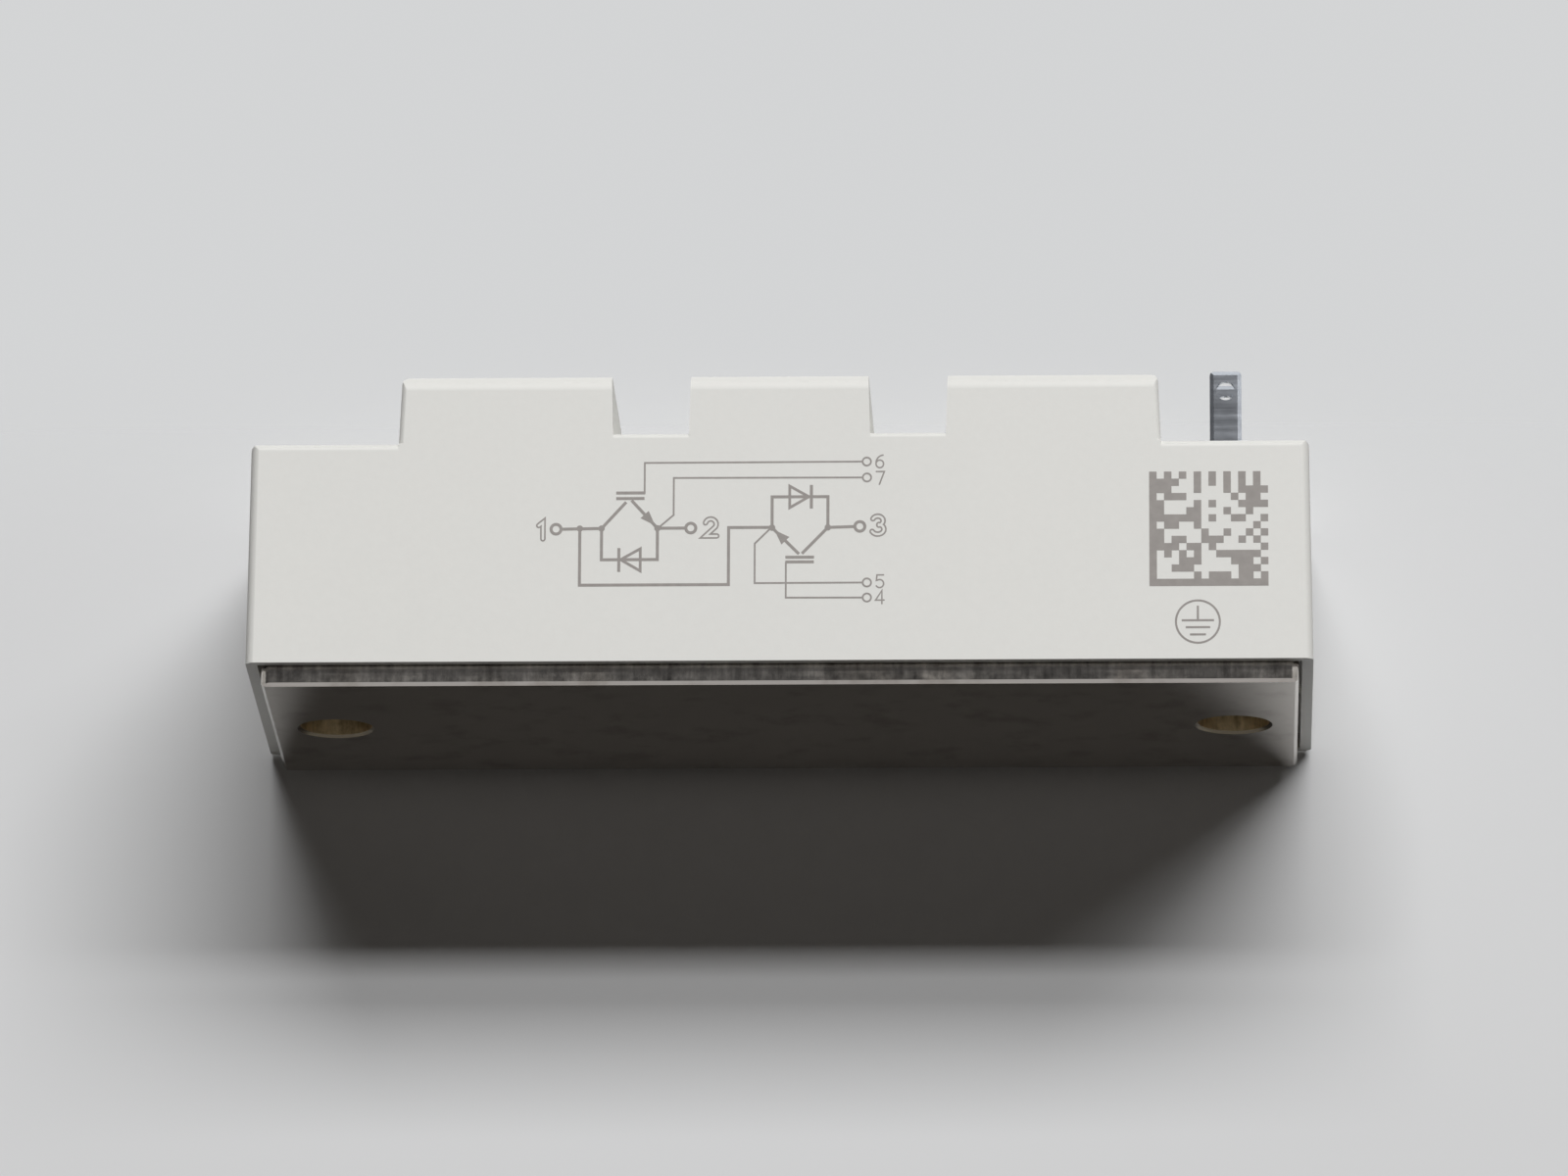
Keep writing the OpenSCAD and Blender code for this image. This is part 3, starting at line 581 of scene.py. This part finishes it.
def cell_field(count, seed):
    """Square field of random cells with two full edges and two broken ones"""
    low_x, low_z, side, spread = 32.62, 8.40, 10.46, 0.006
    dark_share = 0.5
    chance = random.Random(seed)
    cell = side / count
    shapes = []
    for row in range(count):
        for column in range(count):
            if row == 0 or column == 0:
                dark = True
            elif row == count - 1:
                dark = column % 2 == 0
            elif column == count - 1:
                dark = row % 2 == 1
            else:
                dark = chance.random() < dark_share
            if dark:
                x, z = low_x + column * cell, low_z + row * cell
                left, right = x - spread, x + cell + spread
                low, high = z - spread, z + cell + spread
                shapes.append([(left, low), (right, low), (right, high), (left, high)])
    return shapes


def ink():
    """Material of the print"""
    name = "laser print"
    return bpy.data.materials.get(name) or plastic(
        name, bpy.context.scene.module_finish.ink_colour, roughness=0.6, clouds=0.25, bump=0.1)


# ---------------------------------------------------------------- operators

class MODULE_OT_housing(bpy.types.Operator):
    """Gives the housing its ivory moulded finish"""
    bl_idname = "module.housing"
    bl_label = "Housing"

    def execute(self, context):
        finish = context.scene.module_finish
        give("housing", plastic("ivory moulding", finish.plastic_colour, finish.plastic_roughness))
        return {"FINISHED"}


class MODULE_OT_base_plate(bpy.types.Operator):
    """Gives the base plate its nickel plating, with browner walls in the drilled holes and painted
    shade on the chamfers round them
    """
    bl_idname = "module.base_plate"
    bl_label = "Base plate"

    def execute(self, context):
        finish = context.scene.module_finish
        material, tree, shader = plated("nickel plating", finish.plate_colour, NICKEL_STAIN,
                                        share=0.45, roughness=0.12, streaks=0.06, bump=0.12)
        base, roughness = (shader.inputs[name].links[0].from_socket
                           for name in ("Base Color", "Roughness"))
        bumps = shader.inputs["Normal"].links[0].from_node
        spot = add_node(tree, "ShaderNodeSeparateXYZ")
        tree.links.new(object_place(tree), spot.inputs[0])
        facing = add_node(tree, "ShaderNodeSeparateXYZ")
        tree.links.new(add_node(tree, "ShaderNodeTexCoord").outputs["Normal"], facing.inputs[0])
        side = number(tree, "ABSOLUTE", spot.outputs[0])
        across = number(tree, "SUBTRACT", side, MOUNTING_HOLE_X)
        squared = number(tree, "ADD", number(tree, "MULTIPLY", across, across),
                         number(tree, "MULTIPLY", spot.outputs[1], spot.outputs[1]))
        near_hole = number(tree, "LESS_THAN", number(tree, "SQRT", squared), HOLE_ZONE)
        # slope is 0 on the flat faces, about 0.3 on a chamfer and 1 on a wall
        slope = number(tree, "SUBTRACT", 1.0, number(tree, "ABSOLUTE", facing.outputs[2]))
        upright = ramp_between(tree, slope, 0.55, 0.85)
        wall = number(tree, "MULTIPLY", near_hole, upright)
        # edge picks out the chamfer round each hole; it carries painted shade in the colour and a
        # real rougher finish
        edge = number(tree, "MULTIPLY", near_hole, ramp_between(tree, slope, 0.10, 0.25))
        sheared = (1, 1, 0.12)
        lines = noise(tree, object_place(tree, sheared), scale=1900, detail=3.0, roughness=0.6)
        patches = noise(tree, object_place(tree), scale=600, detail=4.0, roughness=0.7)
        uneven = number(tree, "MULTIPLY", around_zero(tree, lines), upright)
        worn = number(tree, "MULTIPLY", around_zero(tree, patches), upright)
        # the chamfer round each hole is painted darker: painted shade; its extra roughness further
        # down is real
        colour = mix_colour(tree, edge, base, HOLE_RIM_SHADE)
        # the walls of the drilled holes get a browner, darker colour than the rest of the plate
        colour = mix_colour(tree, wall, colour, finish.hole_colour)
        change = number(tree, "ADD", number(tree, "MULTIPLY", uneven, 1.5),
                        number(tree, "MULTIPLY", worn, 1.8))
        tree.links.new(varied(tree, colour, change), shader.inputs["Base Color"])
        rough = number(tree, "ADD", roughness, number(tree, "MULTIPLY", worn, 0.12))
        rough = number(tree, "ADD", rough, number(tree, "MULTIPLY", edge, 0.22))
        tree.links.new(rough, shader.inputs["Roughness"])
        depth = number(tree, "ADD", number(tree, "MULTIPLY", wall, 15.0), 1.0)
        cut = number(tree, "MULTIPLY", uneven, depth)
        height = number(tree, "ADD", bumps.inputs["Height"].links[0].from_socket, cut)
        tree.links.new(height, bumps.inputs["Height"])
        give("base_plate", material)
        return {"FINISHED"}


class MODULE_OT_terminals(bpy.types.Operator):
    """Gives the screw terminals and the signal tabs their plating"""
    bl_idname = "module.terminals"
    bl_label = "Terminals and tabs"

    def execute(self, context):
        finish = context.scene.module_finish
        nickel = plated("terminal plating", finish.nickel_colour, TERMINAL_STAIN,
                        share=0.25, roughness=0.28)[0]
        for name in ("terminal_1", "terminal_2", "terminal_3"):
            give(name, nickel)
        tin = plated("tin plating", finish.tin_colour, TIN_STAIN,
                     share=0.5, roughness=0.17, streaks=0.10, bump=0.35)[0]
        for name in ("tab_4", "tab_5", "tab_6", "tab_7"):
            give(name, tin)
        return {"FINISHED"}


class MODULE_OT_nuts(bpy.types.Operator):
    """Builds the captive nuts with their chamfered corners and cut threads"""
    bl_idname = "module.nuts"
    bl_label = "Captive nuts"

    def execute(self, context):
        finish = context.scene.module_finish
        steel = plated("zinc plating", finish.steel_colour, ZINC_STAIN,
                       share=0.3, roughness=0.3)[0]
        flat = (NUTS_HIGH.y - NUTS_LOW.y) / 2
        corner = flat / math.cos(math.radians(30))
        pitch_x = NUTS_HIGH.x - corner
        low, high = NUTS_LOW.z, NUTS_HIGH.z
        vertices, faces = [], []
        for x in (-pitch_x, 0, pitch_x):
            self.add_nut(vertices, faces, x, flat, low, high)
        nuts = new_piece("threaded_nuts", vertices, faces, steel)
        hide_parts("terminal_nuts")
        return {"FINISHED"}

    def add_nut(self, vertices, faces, x, flat, low, high):
        """One nut: its section runs up outside, over the top, down the thread and back below"""
        crest, root, pitch, mouth = 2.1 * MM, 2.42 * MM, 0.8 * MM, 0.3 * MM * 1.3
        end_circle, bevel_slope = 0.985 * flat, 0.55
        levels, turns = 45, 60
        first = len(vertices)
        ring_size = 0
        for i in range(turns):
            angle = 2 * math.pi * i / turns
            edge = flat / math.cos(math.radians((math.degrees(angle) % 60) - 30))
            bevel = (edge - end_circle) * bevel_slope
            section = [(end_circle, low), (edge, low + bevel), (edge, high - bevel),
                       (end_circle, high)]
            for k in range(levels):
                z = high - (high - low) * k / (levels - 1)
                wave = (z / pitch - i / turns) % 1.0
                radius = crest + (root - crest) * abs(2 * wave - 1)
                ends = min(high - z, z - low)
                section.append((max(radius, crest + mouth - ends), z))
            ring_size = len(section)
            for radius, z in section:
                vertices.append((x + radius * math.cos(angle), radius * math.sin(angle), z))
        for i in range(turns):
            for k in range(ring_size):
                a = first + i * ring_size + k
                b = first + i * ring_size + (k + 1) % ring_size
                c = first + ((i + 1) % turns) * ring_size + (k + 1) % ring_size
                d = first + ((i + 1) % turns) * ring_size + k
                faces.append((a, d, c, b))


class MODULE_OT_circuit_parts(bpy.types.Operator):
    """Finishes the boards, chips, wires, glue and gel inside the case"""
    bl_idname = "module.circuit_parts"
    bl_label = "Inner parts"

    def execute(self, context):
        copper = plated("bare copper", (0.80, 0.47, 0.30), (0.45, 0.22, 0.12),
                        share=0.4, roughness=0.3)[0]
        solder = plated("solder", (0.55, 0.56, 0.58), (0.36, 0.36, 0.38),
                        share=0.5, roughness=0.4)[0]
        silicon = plated("silicon", (0.18, 0.19, 0.23), (0.10, 0.11, 0.16),
                         share=0.4, roughness=0.12, streaks=0.02)[0]
        wire = plated("aluminium wire", (0.80, 0.81, 0.83), (0.60, 0.61, 0.63),
                      share=0.2, roughness=0.3)[0]
        ceramic = plastic("alumina", (0.82, 0.82, 0.79), roughness=0.4, clouds=0.02)
        glue = plastic("cured glue", (0.56, 0.53, 0.46), roughness=0.35, clouds=0.12)
        gel, tree, shader = new_material("silicone gel", IOR=1.41, Transmission_Weight=1.0)
        place_group(tree, mould_grain(), shader, bump=0.05, reach=0.02 * MM,
                    Colour=(0.90, 0.93, 0.95), Cloud_depth=0.02, Roughness=0.08)
        for side in ("low_side", "high_side"):
            for part, material in (
                ("plate_solder", solder), ("lower_copper", copper), ("ceramic", ceramic),
                ("collector_track", copper), ("emitter_track", copper), ("gate_track", copper),
                ("chip_solder", solder), ("igbt_chip", silicon), ("diode_chip", silicon),
                ("bond_wires", wire),
            ):
                give(f"{part}_{side}", material)
        give("midpoint_link", copper)
        give("adhesive_bead", glue)
        give("silicone_gel", gel)
        return {"FINISHED"}


class MODULE_OT_circuit_print(bpy.types.Operator):
    """Prints the circuit of the two switches on the long side"""
    bl_idname = "module.circuit_print"
    bl_label = "Circuit print"

    def execute(self, context):
        sizes = context.scene.module_print
        shapes = power_lines(sizes.bold_line / MM) + signal_lines(sizes.fine_line / MM)
        print_piece("circuit_print", shapes, ink(), sizes.ink_lift)
        return {"FINISHED"}


class MODULE_OT_digit_print(bpy.types.Operator):
    """Prints the digits 1 to 7 beside the circuit's ends"""
    bl_idname = "module.digit_print"
    bl_label = "Digits"

    def execute(self, context):
        sizes = context.scene.module_print
        small_size, small_line = 0.84, sizes.fine_line / MM * 0.85
        outer, inner = 0.50, 0.21
        solid, hollow = [], []
        for digit, corner, size in (
            ("1", (-21.42, 12.88), 1.17), ("2", (-6.63, 13.07), 1.20), ("3", (8.14, 13.19), 1.24)):
            solid += digit_areas(digit, corner, size, outer)
            hollow += digit_areas(digit, corner, size, inner)
        print_piece("large_digits", solid, ink(), sizes.ink_lift, hollow)
        small = []
        for digit, corner in (
            ("4", (8.47, 6.92)), ("5", (8.47, 8.36)), ("6", (8.45, 19.33)), ("7", (8.50, 17.82))):
            small += digit_areas(digit, corner, small_size, small_line)
        print_piece("small_digits", small, ink(), sizes.ink_lift)
        return {"FINISHED"}


class MODULE_OT_earth_print(bpy.types.Operator):
    """Prints the protective-earth sign"""
    bl_idname = "module.earth_print"
    bl_label = "Earth sign"

    def execute(self, context):
        sizes = context.scene.module_print
        print_piece("earth_sign", earth_lines(sizes.fine_line / MM), ink(), sizes.ink_lift)
        return {"FINISHED"}


class MODULE_OT_cell_print(bpy.types.Operator):
    """Prints the square field of cells"""
    bl_idname = "module.cell_print"
    bl_label = "Cell field"

    def execute(self, context):
        sizes = context.scene.module_print
        cells = cell_field(sizes.cell_count, sizes.cell_seed)
        print_piece("cell_field", cells, ink(), sizes.ink_lift)
        return {"FINISHED"}


# ---------------------------------------------------------------- stage

def direction_from(azimuth, elevation):
    """Unit vector from the module towards a viewer at those angles, in degrees"""
    a, e = math.radians(azimuth), math.radians(elevation)
    return Vector((math.sin(a) * math.cos(e), -math.cos(a) * math.cos(e), math.sin(e)))


def area_lamp(name, place, aim, wide, high, power):
    """A rectangular lamp with its long side level; one nearly ahead keeps it along X"""
    lamp = bpy.data.lights.new(name, "AREA")
    lamp.shape = "RECTANGLE"
    lamp.size, lamp.size_y, lamp.energy = wide, high, power
    holder = bpy.data.objects.new(name, lamp)
    bpy.context.scene.collection.objects.link(holder)
    back = (place - aim).normalized()
    far_aside = 0.3
    side = Vector((-back.y, back.x, 0)) if abs(back.x) > far_aside else Vector((1, 0, 0))
    side = (side - back * side.dot(back)).normalized()
    turn = Matrix((side, back.cross(side), back)).transposed().to_4x4()
    holder.matrix_world = Matrix.Translation(place) @ turn
    return holder


def stage_sheet(name, corners, material):
    """One flat sheet of the stage"""
    mesh = bpy.data.meshes.new(name)
    mesh.from_pydata(corners, [], [(0, 1, 2, 3)])
    mesh.materials.append(material)
    sheet = bpy.data.objects.new(name, mesh)
    bpy.context.scene.collection.objects.link(sheet)
    return sheet


def see_through_material(name, colour, share_of):
    """Matt colour where share_of(tree) is 1, and clear where it is 0"""
    material = bpy.data.materials.new(name)
    material.use_nodes = True
    tree = material.node_tree
    tree.nodes.clear()
    matt = add_node(tree, "ShaderNodeBsdfDiffuse")
    matt.inputs["Color"].default_value = (*colour, 1)
    clear = add_node(tree, "ShaderNodeBsdfTransparent")
    mix = add_node(tree, "ShaderNodeMixShader")
    out = add_node(tree, "ShaderNodeOutputMaterial")
    tree.links.new(share_of(tree), mix.inputs[0])
    tree.links.new(clear.outputs[0], mix.inputs[1])
    tree.links.new(matt.outputs[0], mix.inputs[2])
    tree.links.new(mix.outputs[0], out.inputs["Surface"])
    return material


class MODULE_OT_stage(bpy.types.Operator):
    """Sets the floor, the table behind, the lamps, the surroundings and the camera"""
    bl_idname = "module.stage"
    bl_label = "Stage"

    def execute(self, context):
        stage = context.scene.module_stage
        self.surroundings(context.scene, stage)
        self.floor(stage)
        self.table(stage)
        self.gloss_cards()
        self.lamps(stage)
        self.camera(context.scene, stage)
        return {"FINISHED"}

    def surroundings(self, scene, stage):
        """Backdrop colour for the eye and for reflections, and a low even light"""
        world = bpy.data.worlds.new("studio")
        world.use_nodes = True
        tree = world.node_tree
        tree.nodes.clear()
        warm = (1.0, 0.92, 0.84, 1)
        path = add_node(tree, "ShaderNodeLightPath")
        mirrored = number(tree, "MAXIMUM", path.outputs["Is Glossy Ray"],
                          path.outputs["Is Transmission Ray"])
        direct = number(tree, "LESS_THAN", path.outputs["Diffuse Depth"], 0.5)
        mirrored = number(tree, "MULTIPLY", mirrored, direct)
        seen = number(tree, "MAXIMUM", path.outputs["Is Camera Ray"], mirrored)
        fill = add_node(tree, "ShaderNodeBackground")
        fill.inputs["Color"].default_value = warm
        fill.inputs["Strength"].default_value = stage.fill_level
        shown = add_node(tree, "ShaderNodeBackground")
        shown.inputs["Color"].default_value = (*stage.backdrop_colour, 1)
        mix = add_node(tree, "ShaderNodeMixShader")
        out = add_node(tree, "ShaderNodeOutputWorld")
        tree.links.new(seen, mix.inputs[0])
        tree.links.new(fill.outputs[0], mix.inputs[1])
        tree.links.new(shown.outputs[0], mix.inputs[2])
        tree.links.new(mix.outputs[0], out.inputs["Surface"])
        scene.world = world

    def floor(self, stage):
        """Floor just under the base plate; it is clear from below and fades out far away"""
        reach, fade_start, fade_end = 1.0, 0.35, 0.9

        def share(tree):
            path = add_node(tree, "ShaderNodeLightPath")
            sides = add_node(tree, "ShaderNodeNewGeometry")
            length = add_node(tree, "ShaderNodeVectorMath", operation="LENGTH")
            tree.links.new(object_place(tree), length.inputs[0])
            far = ramp_between(tree, length.outputs["Value"], fade_start, fade_end)
            near = number(tree, "SUBTRACT", 1.0, far)
            above = number(tree, "SUBTRACT", 1.0, sides.outputs["Backfacing"])
            seen = number(tree, "MULTIPLY", path.outputs["Is Camera Ray"], above)
            return number(tree, "MULTIPLY", seen, near)

        z = PLATE_LOW.z - STAGE_GAP
        corners = [(-reach, -reach, z), (reach, -reach, z), (reach, reach, z), (-reach, reach, z)]
        sheet = stage_sheet("floor", corners,
                            see_through_material("pale floor", stage.floor_colour, share))
        sheet.visible_shadow = False

    def table(self, stage):
        """Table that the module's long side lies against; the eye sees it from below the floor only

        The sight line of an eye below the floor meets the part of the table under the floor
        directly, and the part over the floor once it has passed through the clear floor.
        """
        floor_z = PLATE_LOW.z - STAGE_GAP
        wide, top, bottom = 0.14, 0.08, -0.12
        side_fade, low_fade, high_fade = (62, 130), (-110, -45), (16, 42)

        def share(tree):
            path = add_node(tree, "ShaderNodeLightPath")
            facing = add_node(tree, "ShaderNodeNewGeometry")
            place = add_node(tree, "ShaderNodeSeparateXYZ")
            tree.links.new(object_place(tree), place.inputs[0])
            side, height = number(tree, "ABSOLUTE", place.outputs[0]), place.outputs[2]

            def fade(value, limits):
                return ramp_between(tree, value, limits[0] * MM, limits[1] * MM)

            ends = number(tree, "SUBTRACT", 1.0, fade(side, side_fade))
            high = number(tree, "SUBTRACT", 1.0, fade(height, high_fade))
            low = fade(height, low_fade)
            patch = number(tree, "MULTIPLY", ends, number(tree, "MULTIPLY", low, high))
            above = number(tree, "GREATER_THAN", height, floor_z)
            through = number(tree, "SUBTRACT", path.outputs["Transparent Depth"], above)
            from_below = number(tree, "LESS_THAN", number(tree, "ABSOLUTE", through), 0.5)
            eye = number(tree, "MULTIPLY", path.outputs["Is Camera Ray"], from_below)
            bounced = number(tree, "MULTIPLY", path.outputs["Is Diffuse Ray"],
                             number(tree, "SUBTRACT", 1.0, above))
            bounced = number(tree, "MAXIMUM", bounced, path.outputs["Is Glossy Ray"])
            front = number(tree, "SUBTRACT", 1.0, facing.outputs["Backfacing"])
            seen = number(tree, "MULTIPLY", number(tree, "MAXIMUM", eye, bounced), front)
            return number(tree, "MULTIPLY", seen, patch)

        y = HOUSING_HIGH.y + STAGE_GAP
        corners = [(-wide, y, bottom), (wide, y, bottom), (wide, y, top), (-wide, y, top)]
        sheet = stage_sheet("table", corners,
                            see_through_material("pale table", stage.table_colour, share))
        sheet.visible_shadow = False

    def gloss_cards(self):
        """Cards that only gloss can see: a dark one ahead and a grey one below"""
        distance, half_width, blue = 0.9, 1.1, 1.03
        for name, elevation, reach, level, shift in (
            ("dark_card", 11, 0.22, 0.10, -0.45), ("grey_card", -78, 0.30, 0.56, 0.0)):
            material = bpy.data.materials.new(name)
            material.use_nodes = True
            tree = material.node_tree
            tree.nodes.clear()
            glow = add_node(tree, "ShaderNodeEmission")
            glow.inputs["Color"].default_value = (level, level, level * blue, 1)
            out = add_node(tree, "ShaderNodeOutputMaterial")
            tree.links.new(glow.outputs[0], out.inputs["Surface"])
            centre = direction_from(0, elevation) * distance + Vector((shift, 0, 0))
            up = direction_from(0, elevation + 90) * reach
            side = Vector((half_width, 0, 0))
            corners = [centre - side - up, centre + side - up, centre + side + up,
                       centre - side + up]
            card = stage_sheet(name, corners, material)
            card.visible_camera = card.visible_diffuse = card.visible_shadow = False
            card.visible_transmission = False

    def lamps(self, stage):
        """Two windows over the printed side and two panels behind"""
        middle = (CAD_BOX[0] + CAD_BOX[1]) / 2
        distance, sideways = 3.0, 0.212
        panel_x, panel_y, panel_z, panel_wide, panel_high = 1.5, 2.3, 2.4, 1.6, 1.2
        for name, rise, height, wide, power in (
            ("upper_window", 62.2, 0.225, 2.79, stage.upper_power),
            ("lower_window", 51.0, 0.68, 2.54, stage.lower_power)):
            tilt = math.radians(rise)
            towards = Vector((sideways * math.sin(tilt), -math.sin(tilt), math.cos(tilt)))
            area_lamp(name, middle + distance * towards, middle, wide, height, power)
        for name, x in (("rear_left_panel", -panel_x), ("rear_right_panel", panel_x)):
            panel = area_lamp(name, Vector((x, panel_y, panel_z)), middle, panel_wide, panel_high,
                              stage.rear_power)
            panel.visible_glossy = False

    def camera(self, scene, stage):
        """Camera a little below the mounting face, looking at the printed side"""
        aim = Vector((-0.09, 0, 12.78)) * MM
        azimuth, elevation, roll = 1.84, -14.58, math.radians(0.2)
        back = direction_from(azimuth, elevation)
        side = Vector((-back.y, back.x, 0)).normalized()
        up = back.cross(side)
        right = side * math.cos(roll) + up * math.sin(roll)
        above = up * math.cos(roll) - side * math.sin(roll)
        data = bpy.data.cameras.new("camera")
        data.lens = stage.camera_lens
        data.sensor_width = 36
        data.clip_start, data.clip_end = 0.05, 20
        camera = bpy.data.objects.new("camera", data)
        scene.collection.objects.link(camera)
        turn = Matrix((right, above, back)).transposed().to_4x4()
        camera.matrix_world = Matrix.Translation(aim + back * stage.camera_distance) @ turn
        scene.camera = camera
        scene.view_settings.view_transform = "Standard"


# ---------------------------------------------------------------- panel and start

class MODULE_PT_panel(bpy.types.Panel):
    """Lists the module's steps"""
    bl_label = "Module"
    bl_idname = "MODULE_PT_panel"
    bl_space_type = "VIEW_3D"
    bl_region_type = "UI"
    bl_category = "Module"

    def draw(self, context):
        scene = context.scene
        for step in STEPS:
            self.layout.operator(step.bl_idname)
        for settings in (scene.module_finish, scene.module_print, scene.module_stage):
            box = self.layout.box()
            for name in settings.__annotations__:
                box.prop(settings, name)


SETTINGS = {"module_finish": ModuleFinish, "module_print": ModulePrint,
            "module_stage": ModuleStage}
STEPS = (MODULE_OT_housing, MODULE_OT_base_plate, MODULE_OT_terminals, MODULE_OT_nuts,
         MODULE_OT_circuit_parts, MODULE_OT_circuit_print, MODULE_OT_digit_print,
         MODULE_OT_earth_print, MODULE_OT_cell_print, MODULE_OT_stage)


def register():
    """Adds the settings, the steps and the panel to Blender"""
    for cls in (*SETTINGS.values(), *STEPS, MODULE_PT_panel):
        bpy.utils.register_class(cls)
    for name, cls in SETTINGS.items():
        setattr(bpy.types.Scene, name, bpy.props.PointerProperty(type=cls))


def unregister():
    """Takes them out again"""
    for name in SETTINGS:
        delattr(bpy.types.Scene, name)
    for cls in reversed((*SETTINGS.values(), *STEPS, MODULE_PT_panel)):
        bpy.utils.unregister_class(cls)


def main():
    """Runs every step in order"""
    register()
    for step in STEPS:
        group, name = step.bl_idname.split(".")
        getattr(getattr(bpy.ops, group), name)()


if __name__ == "__main__":
    main()
